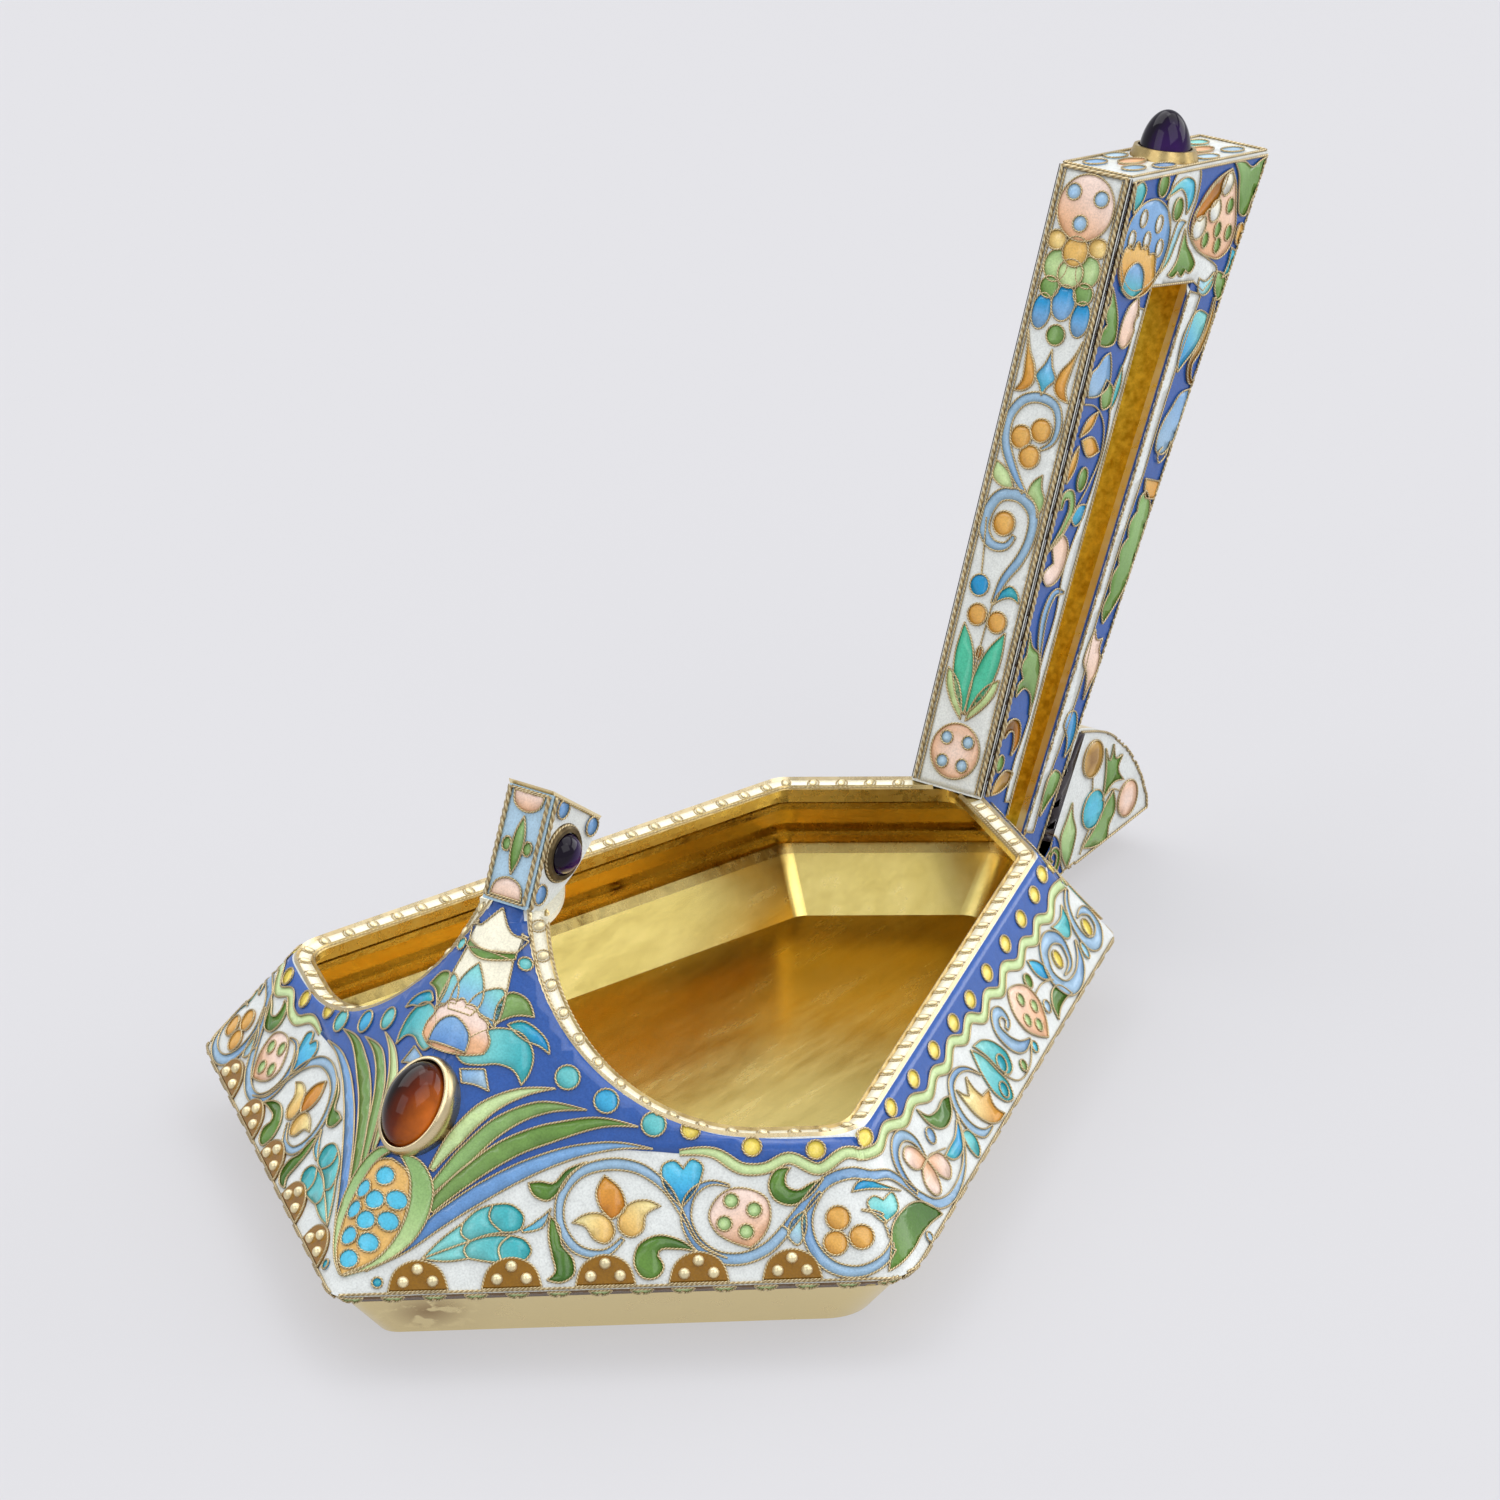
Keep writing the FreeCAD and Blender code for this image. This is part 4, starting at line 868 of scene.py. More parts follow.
def draw_front_scroll(p):
    # the scroll that runs along the white band
    p.band([(26.9, 4.6), (25.2, 3.3), (22.8, 3.7), (21.3, 5.9), (21.4, 8.6), (23.0, 10.7), (25.6, 11.5),
            (28.5, 11.1), (31.0, 9.2), (32.6, 6.4), (34.0, 3.9), (36.5, 2.5)],
            [0.4, 0.8, 0.9, 0.8, 0.9, 1.0, 1.1, 1.0, 0.7, 0.3, 0.2, 0.0], SCROLL_BACK, 2)
    p.band([(36.9, 9.2), (35.0, 9.5), (33.4, 8.5), (32.8, 6.4), (33.6, 4.2), (35.4, 2.7), (37.6, 2.4),
            (40.0, 3.2), (42.0, 5.1)], [0.2, 0.5, 0.9, 1.0, 1.1, 1.1, 1.1, 1.1, 1.0], SCROLL)
    p.band([(45.3, 8.3), (44.0, 6.0), (44.4, 3.3), (46.3, 1.3), (48.9, 0.95), (51.2, 2.3), (52.0, 4.4),
            (50.9, 6.1), (49.0, 6.6)], [0.4, 0.9, 1.1, 1.2, 1.1, 1.0, 0.7, 0.4, 0.1], SCROLL)
    # the turquoise leaf with six lobes
    for points in (
        [(8.4, 3.3, 1), (10.3, 5.1), (12.3, 6.5, 1), (12.1, 5.5), (12.9, 4.8, 1), (11.0, 4.2)],
        [(12.3, 6.5, 1), (13.7, 7.7), (15.1, 8.1, 1), (14.7, 7.1), (15.9, 5.5, 1), (14.4, 5.3),
         (12.9, 4.8, 1), (12.1, 5.5)],
        [(15.1, 8.1, 1), (16.9, 8.0), (17.9, 6.9), (17.6, 5.8), (15.9, 5.5, 1), (14.7, 7.1)],
        [(8.4, 3.3, 1), (11.0, 4.2), (12.9, 4.8, 1), (12.3, 4.0), (12.7, 3.2, 1), (10.5, 3.0)],
        [(12.9, 4.8, 1), (14.4, 5.2), (16.6, 5.2, 1), (15.5, 4.1), (15.8, 2.7, 1), (14.2, 2.9),
         (12.7, 3.2, 1), (12.3, 4.0)],
        [(16.6, 5.2, 1), (18.0, 4.7), (18.5, 3.7), (17.6, 2.7), (15.8, 2.7, 1), (15.5, 4.1)],
    ):
        p.leaf(points, AQUA, ((8.4, 3.3), (18.5, 5.5)))
    p.band([(17.7, 5.6), (19.3, 6.2), (20.4, 7.6)], [0.3, 0.9, 0.0], ("berry", "scroll_pale"))
    # green commas
    p.leaf([(18.4, 10.0, 1), (18.8, 8.9), (20.1, 8.3), (21.3, 9.2), (22.3, 10.6), (23.9, 11.8, 1),
            (21.9, 11.1), (20.6, 9.9), (19.6, 10.1)], GREEN)
    p.leaf([(20.3, 6.9, 1), (21.1, 5.9), (21.3, 4.2), (22.3, 2.8), (22.3, 1.4), (21.3, 0.75),
            (19.8, 1.0, 1), (20.6, 1.7), (20.4, 3.1), (20.1, 5.0)], GREEN)
    p.leaf([(33.7, 3.2, 1), (32.0, 4.4), (30.0, 4.8), (28.3, 3.9), (27.9, 2.1), (28.7, 0.9), (29.9, 0.9),
            (30.6, 1.8), (30.1, 2.9, 1), (30.2, 3.3), (31.8, 3.5)], ("deep_green", "green"))
    p.leaf([(42.6, 10.7, 1), (41.3, 10.6), (40.5, 9.2), (41.0, 7.8), (42.6, 7.2), (44.2, 8.0),
            (45.6, 9.6, 1), (44.4, 9.2), (43.1, 8.6), (42.2, 9.0), (42.1, 9.9)], GREEN)
    # the orange lily
    p.leaf([(25.4, 10.5, 1), (24.6, 8.9), (25.0, 7.4), (25.9, 6.4, 1), (27.2, 7.3), (27.0, 8.9)],
            ("orange", "deep_orange"), ((25.4, 10.5), (25.9, 6.4)))
    p.leaf([(22.3, 6.2, 1), (23.7, 7.0), (25.2, 6.9), (25.9, 6.3, 1), (26.2, 5.2), (25.4, 4.2),
            (24.3, 4.6), (23.5, 5.8)], STRAW, ((22.3, 6.2), (25.9, 4.6)))
    p.leaf([(30.5, 7.5, 1), (29.2, 8.1), (27.6, 7.8), (26.6, 6.7, 1), (26.6, 5.4), (27.7, 4.7),
            (28.8, 5.3), (29.1, 6.7)], STRAW, ((30.3, 7.8), (27.2, 5.2)))
    # the hearts
    p.leaf([(32.7, 10.9, 1), (31.9, 11.7), (30.8, 11.3), (30.7, 9.9), (32.4, 7.3, 1), (34.3, 9.9),
            (34.5, 11.2), (33.5, 11.8)], AZURE, ((32.6, 11.6), (32.4, 7.3)))
    p.leaf([(43.8, 6.7, 1), (42.4, 5.6), (42.2, 4.2), (43.0, 3.5), (43.7, 4.5)], ("aqua", "pale_sky"))
    # the strawberry with its four dots
    p.leaf([(37.0, 8.9), (38.8, 8.8), (40.3, 7.9), (40.6, 6.3), (39.9, 4.5), (38.7, 3.4, 1), (36.9, 4.0),
            (35.4, 5.1), (34.9, 6.4), (35.6, 8.0)], PEACH, ((37.0, 8.2), (38.7, 3.2)))
    p.discs([(37.0, 7.8), (39.1, 6.9), (36.3, 5.7), (38.3, 4.9)], 0.72, SPRING)
    # three orange discs
    p.discs([(46.8, 5.9), (46.5, 3.6), (48.9, 4.1)], 1.15, AMBER)


def draw_side(p):
    crests = [(5.3, 11.3), (7.5, 10.45), (10.7, 10.95), (14.7, 9.65), (17.8, 10.1), (21.5, 8.9),
            (24.7, 9.65), (27.4, 8.85), (30.8, 9.9), (33.5, 8.85), (36.4, 9.6), (39.2, 8.3), (42.3, 9.3),
            (45.3, 8.2), (48.3, 9.3), (51.9, 8.1), (54.8, 8.9), (57.5, 8.0), (59.9, 8.9), (62.8, 8.0),
            (66.0, 9.1), (69.8, 8.6)]
    rim = 12.8
    p.ground(sharp_ends(crests) + [(68.2, rim, 1), (6.0, rim, 1)], "cobalt")
    p.ribbon(crests)
    p.discs([(7.0, 12.1), (13.6, 11.7), (20.3, 11.3), (26.8, 11.1), (33.1, 10.9), (38.6, 10.7),
            (44.6, 10.7), (51.2, 10.7), (57.0, 10.7), (62.3, 10.9), (66.2, 11.4)], 1.15, YELLOW, up=0.85,
            level=2)
    # the curl round the pink flower
    p.band([(14.3, 5.6), (14.2, 7.6), (12.8, 9.0), (10.9, 9.2), (9.3, 8.3), (8.8, 6.4), (9.4, 4.4)],
            [0.3, 0.9, 1.15, 1.25, 1.15, 0.9, 0.5], SCROLL_BACK)
    # the pink flower
    for points in (
        [(14.3, 5.4, 1), (13.4, 7.3), (11.8, 8.1), (10.7, 7.6), (11.0, 6.3), (12.4, 5.4)],
        [(14.3, 5.4, 1), (12.6, 5.2), (11.6, 4.0), (12.1, 2.6), (13.5, 2.2), (14.4, 3.4)],
        [(14.3, 5.4, 1), (14.9, 3.3), (16.4, 2.1), (17.6, 2.8), (17.4, 4.2), (16.0, 5.2)],
    ):
        p.leaf(points, ("deep_peach", "pink"), (points[0], points[3]))
    p.stem([(14.3, 5.5), (16.8, 4.9), (18.6, 4.3)])
    p.disc(17.4, 6.4, 0.85, SCROLL_BACK)
    p.leaf([(17.8, 9.2, 1), (18.9, 7.9), (21.0, 7.3), (23.2, 7.4), (24.6, 7.0, 1), (23.4, 5.8),
            (21.3, 5.4), (19.4, 6.1), (18.2, 7.5)], GREEN)
    p.leaf([(17.8, 3.9, 1), (19.6, 4.0), (21.5, 4.1), (23.4, 4.9, 1), (23.1, 3.6), (21.6, 2.6),
            (20.0, 2.5), (18.6, 3.0)], LAGOON)
    p.leaf([(22.9, 3.6, 1), (24.2, 3.3), (24.9, 2.2), (24.4, 0.9), (23.3, 0.6), (22.7, 1.8)], AQUA)
    p.band([(29.0, 1.1), (26.6, 1.6), (24.9, 3.6), (24.9, 6.0), (26.1, 7.4), (28.2, 7.7), (30.6, 6.9),
            (32.4, 5.2)], [0.2, 0.9, 1.15, 1.1, 0.95, 0.7, 0.4, 0.1], SCROLL_BACK)
    # the yellow crown flower
    p.leaf([(26.6, 6.6, 1), (27.3, 5.7), (28.2, 5.1, 1), (29.6, 6.5, 1), (29.8, 4.9), (30.5, 3.8, 1),
            (32.3, 3.6, 1), (31.5, 2.2), (32.6, 0.6, 1), (30.6, 0.7), (28.9, 1.5), (27.5, 3.1),
            (26.8, 5.0)], ("pale_yellow", "orange"), ((27.5, 6.0), (31.6, 1.0)))
    # turquoise leaves with darker balls
    p.leaf([(33.3, 7.6, 1), (34.9, 5.9), (35.8, 3.8), (36.5, 2.0), (35.8, 0.7), (34.2, 1.1), (33.0, 2.6),
            (32.7, 5.0)], AQUA)
    p.leaf([(34.1, 7.6, 1), (36.5, 7.1), (38.5, 5.6), (39.4, 3.9), (38.9, 2.6), (37.4, 2.5), (36.3, 3.8),
            (35.4, 5.8)], AQUA)
    p.disc(37.3, 3.9, 0.95, ("turquoise", "deep_turquoise"))
    p.disc(34.9, 2.1, 0.85, ("turquoise", "deep_turquoise"))
    p.band([(45.2, 2.5), (42.6, 3.0), (40.9, 4.6), (40.4, 6.4), (41.4, 7.3), (42.9, 6.9), (43.1, 5.8),
            (42.1, 5.4)], [0.3, 1.1, 1.5, 1.6, 1.5, 1.3, 1.0, 0.5], SCROLL)
    p.stem([(36.6, 3.0), (38.4, 1.3), (41.0, 0.8), (43.4, 1.3), (45.4, 2.6)])
    p.disc(41.1, 1.6, 0.62, MOSS)
    p.disc(45.2, 1.6, 0.62, BERRY)
    # the strawberry
    p.leaf([(46.4, 7.5), (48.5, 7.2), (50.5, 5.9), (51.2, 3.9), (50.2, 1.9), (48.8, 0.8, 1), (46.9, 2.0),
            (45.3, 3.8), (45.1, 5.7)], ("peach", "deep_peach"), ((47.4, 7.2), (48.8, 0.8)))
    p.discs([(47.8, 5.8), (46.8, 3.9), (49.6, 4.1), (48.4, 2.5)], 0.68, SPRING)
    p.disc(51.3, 6.2, 0.8, ("moss", "green"))
    p.disc(52.0, 2.8, 0.7, MIST)
    p.leaf([(53.4, 7.5, 1), (54.9, 6.8), (56.0, 5.5), (55.9, 4.1, 1), (54.4, 4.8), (53.5, 6.0)], AZURE)
    p.stem([(51.3, 4.7), (53.5, 4.7), (56.2, 3.8)])
    p.leaf([(52.8, 0.8, 1), (53.2, 2.3), (54.6, 3.2), (56.5, 3.0), (58.2, 1.1, 1), (56.0, 1.4),
            (54.3, 1.3)], GREEN)
    p.band([(59.0, 2.9), (61.6, 3.3), (62.2, 5.3), (60.4, 6.7), (57.6, 6.4), (56.3, 4.4), (57.6, 2.1),
            (61.0, 1.3), (63.6, 2.2), (65.0, 4.0)], [0.1, 0.8, 1.3, 1.5, 1.5, 1.5, 1.6, 1.6, 1.3, 0.2],
            SCROLL_BACK, 3)
    p.leaf([(61.9, 7.2, 1), (63.6, 6.9), (65.2, 7.0), (66.4, 7.6, 1), (65.9, 5.6), (64.4, 4.7),
            (63.2, 5.2), (62.6, 6.3)], AQUA)
    p.disc(65.7, 2.4, 0.6, ("pale_sky", "berry"), up=0.95)
    p.band([(69.3, 8.0), (67.4, 6.9), (66.5, 4.6), (67.2, 2.5), (69.3, 1.7), (71.1, 2.6), (71.0, 4.4),
            (69.6, 5.2), (68.0, 5.2)], [0.5, 0.8, 1.1, 1.4, 1.5, 1.4, 1.2, 0.9, 0.1], SCROLL, 3)
    p.discs([(59.4, 4.6), (68.8, 3.6)], 0.85, YELLOW, up=1.0)
    p.wire([(0.8, 0.2), (73.0, 0.2)], level=1, scale=1.3)


# The prow, where the two front facets meet


def draw_prow(p):
    p.ground([(-1.7, 13.0, 1), (1.7, 13.0, 1), (2.1, 40.6, 1), (-2.1, 40.6, 1)], "cobalt", -0.4)
    # leaves round the corn cob and its berries
    sheath = [(0.2, 2.3, 1), (2.8, 4.9), (4.3, 8.0), (4.5, 11.0), (3.6, 13.6), (2.1, 14.8),
            (0.4, 14.7, 1), (1.7, 13.4), (2.7, 11.0), (2.9, 8.0), (2.0, 4.7)]
    for half in (sheath, turned(sheath)):
        p.leaf(half, SPRING, ((2.0, 4.0), (2.0, 13.0)), level=6)
    cob = [(0.0, 14.0, 1), (1.6, 13.4), (2.6, 11.0), (2.9, 8.4), (2.1, 4.9), (0.0, 2.3, 1)]
    cob = cob + mirror(cob[1:-1])[::-1]
    p.field(cob, ("tan", "tan"), ((0, 13), (0, 2)), 7)
    for x, w in ((0, 12.3), (0, 9.9), (0, 7.85), (0, 3.95), (1.75, 10.6), (1.8, 8.5), (1.0, 6.0)):
        for sign in (1, -1):
            if x or sign > 0:
                p.disc(sign * x, w, 0.93, ("berry", "berry"), level=9)
    # the lotus above the stone
    side = [(0.5, 29.6, 1), (1.2, 31.4), (2.8, 32.5), (3.4, 30.6), (3.3, 28.7, 1), (2.0, 29.5)]
    for sign, half in ((1, side), (-1, turned(side))):
        p.leaf(half, ("sky", "aqua"), ((sign, 29), (sign * 3, 32.5)))
    cream = [(0.0, 29.5, 1), (3.5, 29.4, 1), (3.1, 32.6, 1), (2.6, 35.3, 1), (-2.6, 35.3, 1),
            (-3.1, 32.6, 1), (-3.5, 29.4, 1)]
    p.field(cream, ("cream",), None, 1)
    p.leaf([(0.0, 34.0, 1), (1.2, 32.2), (1.6, 30.5), (1.2, 29.0, 1), (-1.2, 29.0, 1), (-1.6, 30.5),
            (-1.2, 32.2)], ("aqua", "sky"), ((0, 34), (0, 29)), level=3)
    scallops = [(-3.4, 26.2, 1), (-3.5, 27.4), (-3.0, 28.2, 1), (-2.7, 29.0), (-1.9, 29.3, 1),
            (-1.2, 30.0), (-0.5, 29.9, 1), (0.0, 30.3), (0.5, 29.9, 1), (1.2, 30.0), (1.9, 29.3, 1),
            (2.7, 29.0), (3.0, 28.2, 1), (3.5, 27.4), (3.4, 26.2, 1), (1.8, 25.3), (0, 25.0),
            (-1.8, 25.3)]
    p.field(scallops, ("deep_peach", "pink"), ((0, 26.6), (0, 28.8)), 5)
    p.leaf([(-2.0, 25.6, 1), (-1.7, 27.4), (0, 28.5), (1.7, 27.4), (2.0, 25.6, 1)], ("blue", "sky"),
            ((0, 25), (0, 28.5)), level=7)
    p.leaf([(-2.7, 35.5, 1), (0.0, 34.4), (2.7, 35.5, 1), (2.6, 36.1, 1), (0.0, 35.3), (-2.6, 36.1, 1)],
            ("moss", "green"), level=3)
    crown = [(-2.6, 36.1, 1), (-3.3, 38.0, 1), (-1.7, 37.6), (-1.0, 38.2, 1), (0.0, 39.6, 1),
            (1.0, 38.2, 1), (1.7, 37.6), (3.3, 38.0, 1), (2.6, 36.1, 1), (0.0, 35.3)]
    p.field(crown, ("cream",), None, 4)
    for sign in (1, -1):
        p.disc(sign * 3.6, 35.5, 0.62, AQUA)


# The front corner, where a front facet and a side facet meet


def draw_corner(p, front, side):
    def fore(u, v, *rest):
        return (*p.flatten(front.place(u, v)), *rest)

    def aft(u, v, *rest):
        return (*p.flatten(side.place(u, v)), *rest)

    p.ground([fore(48.4, 11.9, 1), aft(4.4, 11.6, 1), aft(6.6, 11.0, 1), aft(7.2, 12.8, 1),
            aft(5.9, 12.8, 1), fore(47.6, 13.5, 1)], "cobalt", -0.5)
    p.ribbon([fore(49.0, 11.9), aft(5.5, 11.2)])
    p.band([fore(42.0, 5.1), fore(44.0, 7.4), fore(46.2, 9.5), fore(48.4, 10.1), aft(4.6, 9.3),
            aft(6.7, 8.0), aft(8.2, 6.1), aft(9.6, 3.9), aft(11.6, 1.9), aft(14.4, 0.95), aft(17.4, 0.95),
            aft(20.4, 1.7), aft(22.6, 3.2), aft(24.0, 5.2)],
            [0.9, 1.0, 1.1, 1.0, 0.9, 0.9, 1.0, 0.9, 0.6, 0.3, 0.1], SCROLL)
    p.leaf([fore(51.4, 0.9, 1), fore(51.9, 3.2), aft(2.7, 4.5), aft(5.7, 4.7), aft(8.7, 3.8),
            aft(10.5, 2.3), aft(11.4, 0.8, 1), aft(8.8, 1.35), aft(6.2, 1.6), aft(3.4, 1.5),
            fore(52.5, 1.5)], GREEN, (fore(51.4, 1.0), aft(10.5, 2.3)))
    p.leaf([fore(48.2, 8.3, 1), fore(48.8, 9.2), fore(50.0, 9.6), aft(4.9, 8.1), aft(6.9, 6.0, 1),
            aft(4.7, 7.6), fore(49.7, 8.6)], ("azure", "turquoise"), (fore(48.2, 8.3), aft(6.9, 6.0)))
    p.leaf([aft(3.9, 6.9, 1), fore(50.4, 8.0), fore(49.7, 7.4), fore(50.1, 6.5), fore(51.4, 5.5, 1),
            aft(5.2, 5.4), aft(5.6, 6.6)], AQUA, (aft(3.9, 6.9), fore(51.4, 5.5)))
    p.disc(*aft(7.0, 0.75), 0.5, MIST)


# The rear facets aren't seen in the photograph: the side's border runs on over them


def draw_rear(p):
    rim = 13.9
    crests = [(-0.2, 9.3), (2.4, 9.9), (4.9, 9.0), (7.4, 9.9), (9.6, 9.0), (11.9, 9.9), (14.2, 9.0),
            (16.6, 9.9), (19.0, 9.0), (21.4, 9.7)]
    p.ground(sharp_ends(crests) + [(20.4, rim, 1), (-0.3, rim, 1)], "cobalt")
    p.ribbon(crests)
    p.discs([(0.4, 11.9), (4.9, 11.9), (9.6, 11.9), (14.2, 11.9), (18.9, 11.9)], 0.9, YELLOW)
    p.band([(4.2, 7.4), (5.0, 4.4), (7.5, 2.2), (10.6, 2.4), (12.3, 4.7), (11.4, 7.0), (9.2, 7.2),
            (8.4, 5.4)], [0.4, 0.8, 1.1, 1.1, 1.0, 0.8, 0.5, 0.2], SCROLL)
    p.band([(13.0, 7.2), (14.0, 4.2), (16.4, 2.2), (19.2, 2.6), (20.6, 4.8), (19.6, 6.9), (17.6, 7.0),
            (17.0, 5.4)], [0.4, 0.8, 1.1, 1.1, 1.0, 0.8, 0.5, 0.2], SCROLL)
    p.leaf([(0.9, 8.0, 1), (0.8, 5.6), (1.6, 3.4, 1), (2.9, 5.4), (2.5, 7.2)], AQUA)
    p.disc(2.6, 1.9, 0.8, AMBER)
    p.discs([(10.2, 4.9), (18.7, 4.7)], 1.05, AMBER)
    p.leaf([(6.1, 8.2, 1), (6.6, 5.6), (8.0, 4.0, 1), (7.9, 6.4), (7.2, 7.9)], LEAF)
    p.leaf([(15.1, 8.0, 1), (15.3, 5.6), (16.4, 3.9, 1), (16.5, 6.2), (16.0, 7.7)], LEAF)
    p.leaf([(22.0, 7.6, 1), (21.8, 4.9), (23.2, 2.4, 1), (24.2, 4.8), (23.4, 6.8)], AQUA)


# The handle


def draw_handle_front(p):
    p.ground([(-3.6, 0.2, 1), (3.6, 0.2, 1), (3.6, 65.3, 1), (-3.6, 65.3, 1)], "white")
    for sign in (1, -1):
        p.rope([(sign * 3.9, 0.3), (sign * 3.9, 65.6)])
        p.wire([(sign * 3.45, 0.3), (sign * 3.45, 65.2)])
        p.ground([(sign * 4.06, 0.2, 1), (sign * 4.3, 0.2, 1), (sign * 4.3, 65.6, 1),
            (sign * 4.06, 65.6, 1)][::sign], "shadow")
    p.rope([(-3.9, 65.5), (3.9, 65.5)])
    # the disc at the foot, and the plant that grows from it
    p.disc(0, 4.1, 2.9, PEACH)
    p.discs([(-1.3, 5.3), (1.3, 5.3), (-1.2, 2.8), (1.2, 2.8)], 0.72, MIST, level=4)
    p.twins([(0.3, 7.4, 1), (1.9, 9.0), (3.0, 11.0), (3.1, 12.4, 1), (1.8, 11.4), (0.7, 9.4)], LIME)
    p.twins([(0.1, 8.0, 1), (1.9, 10.5), (2.7, 13.5), (2.5, 17.3, 1), (1.0, 15.3), (0.1, 12.5)],
            ("emerald", "emerald"))
    p.stem([(0, 12.5), (0.0, 16.5), (0.2, 20.0)])
    p.disc(0.05, 14.6, 0.4, ("deep_orange", "brown"), up=0.7)
    p.discs([(-1.25, 18.4), (1.25, 18.1)], 1.15, AMBER)
    p.disc(-1.8, 21.4, 1.15, ("azure", "azure"))
    p.leaf([(0.2, 19.7, 1), (0.7, 21.2), (1.9, 22.1), (2.9, 21.4), (3.2, 20.5, 1), (2.2, 20.9),
            (1.1, 20.5)], ("azure", "turquoise"))
    p.stem([(-1.9, 22.6), (-2.3, 25.0), (-2.9, 28.4)])
    p.band([(0.2, 19.9), (0.8, 22.5), (2.1, 25.0), (2.7, 27.5), (2.3, 30.0), (0.4, 31.3), (-1.9, 30.9),
            (-2.9, 29.0), (-2.8, 27.0), (-1.5, 25.8), (0.1, 26.0), (0.8, 27.2)],
            [0.4, 0.9, 1.1, 1.1, 1.2, 1.3, 1.3, 1.3, 1.2, 1.0, 0.5], SKY)
    p.disc(-0.7, 28.2, 1.3, AMBER)
    p.leaf([(-0.6, 31.9, 1), (-1.5, 33.4), (-3.3, 34.4, 1), (-3.3, 32.6), (-2.1, 31.9)], LIME)
    p.leaf([(1.1, 31.5, 1), (1.4, 33.0), (2.4, 34.0, 1), (2.7, 32.6), (3.3, 31.6), (2.9, 29.6, 1),
            (2.2, 31.0)], SPRING)
    # the upper curl with three orange discs
    p.band([(0.7, 31.8), (-1.3, 34.0), (-2.9, 36.8), (-3.0, 39.2), (-1.8, 41.1), (0.1, 41.7), (2.0, 41.1),
            (2.8, 39.2), (2.5, 37.4), (1.4, 36.5)], [0.5, 0.9, 1.1, 1.1, 1.1, 1.1, 1.1, 0.9, 0.7, 0.3],
            SKY)
    p.discs([(1.0, 38.4), (-1.15, 37.3), (0.35, 35.5)], 1.25, AMBER)
    p.twins([(3.3, 48.3, 1), (2.5, 46.2), (1.5, 44.6), (1.3, 42.9), (2.0, 42.1), (3.3, 41.8, 1),
            (2.7, 42.9), (2.8, 45.0)], AMBER)
    p.leaf([(0, 46.8, 1), (-0.5, 45.1), (-1.2, 43.8), (-0.5, 42.9), (0, 41.9, 1), (0.5, 42.9),
            (1.2, 43.8), (0.5, 45.1)], ("sky", "berry"))
    p.disc(0, 48.3, 1.1, LEAF)
    for sign in (1, -1):
        p.cell(oval(sign * 2.35, 50.4, 1.15, 1.9), ("sky", "azure"), ((0, 49.2), (0, 51.4)), 1)
        p.disc(sign * 1.95, 55.3, 1.4, SPRING, up=1.7, level=1)
        p.disc(sign * 2.05, 53.0, 1.15, LEAF)
        p.disc(sign * 2.5, 57.9, 1.15, STRAW, up=1.05)
    p.cell(oval(0, 51.7, 1.4, 1.9), ("sky", "azure"), ((0, 50.6), (0, 52.8)), 2)
    p.disc(0, 54.8, 1.5, LIME, up=1.5, level=4)
    p.disc(0, 57.1, 1.5, ("amber", "amber"), up=1.6, level=5)
    p.cell(oval(0, 61.7, 3.3, 3.5), PEACH, ((1.2, 64.0), (-1.4, 58.6)), 6)
    p.discs([(-1.75, 63.1), (1.6, 62.9), (-0.2, 60.0)], 0.88, ("sky", "pale_sky"), level=7)


def slot_front(v):
    return 5.47 + (v - 2.46) * 0.0595


def slot_rear(v):
    return 10.21 + (v - 4.59) * 0.1217


def draw_handle_side(p):
    # white enamel along the slot
    wide = [(12, 1.2), (16, 1.5), (21, 0.9), (27, 1.5), (32, 1.3), (37, 2.2), (42, 1.4), (47, 0.7),
            (52, 0.9), (56, 2.1), (60, 1.2), (65, 1.6)]
    edge = [(slot_front(v) - 0.12, v) for v, _ in wide]
    inner = [(slot_front(v) - w, v) for v, w in wide][::-1]
    p.field(sharp_ends(edge) + sharp_ends(inner), ("white",))
    wide = [(9, 1.7), (14, 1.5), (20, 2.1), (26, 2.3), (31, 1.6), (37, 1.6), (43, 1.7), (48, 2.0),
            (53, 1.9), (58, 2.0), (63, 2.2), (68, 2.6)]
    edge = [(slot_rear(v) - 0.8, v) for v, _ in wide]
    inner = [(slot_rear(v) + w, v) for v, w in wide][::-1]
    p.field(sharp_ends(edge) + sharp_ends(inner), ("white",))
    p.field([(9.3, 67.5, 1), (18.1, 69.1, 1), (20.6, 68.4, 1), (22.6, 71.0), (19.6, 71.9), (16.6, 72.6),
            (14.2, 74.4), (14.6, 77.6), (13.8, 80.6), (11.6, 80.9), (9.2, 79.4), (8.6, 76.4),
            (10.6, 73.2), (10.8, 70.2)], ("white",))
    draw_handle_head(p)
    draw_handle_bars(p)
    # the border wires and the dark line at the front corner
    p.ground([(0.0, 12.6, 1), (0.5, 12.6, 1), (0.5, 77.5, 1), (0.0, 77.4, 1)], "shadow", 0)
    p.rope([(0.66, 12.3), (0.66, 77.4)])
    p.wire([(0.3, 77.45), (28.0, 84.35)], scale=1.3)
    p.wire([(14.5, 7.2), (28.0, 84.3)], scale=1.3)
    for edge, shift, low, high in ((slot_front, -0.1, 10.6, 67.3), (slot_rear, -0.65, 8.0, 68)):
        p.wire([(edge(low) + shift, low), (edge(68) + shift, high)], scale=1.2)
    p.wire([(9.3, 67.45), (18.1, 69.1)], scale=1.2)


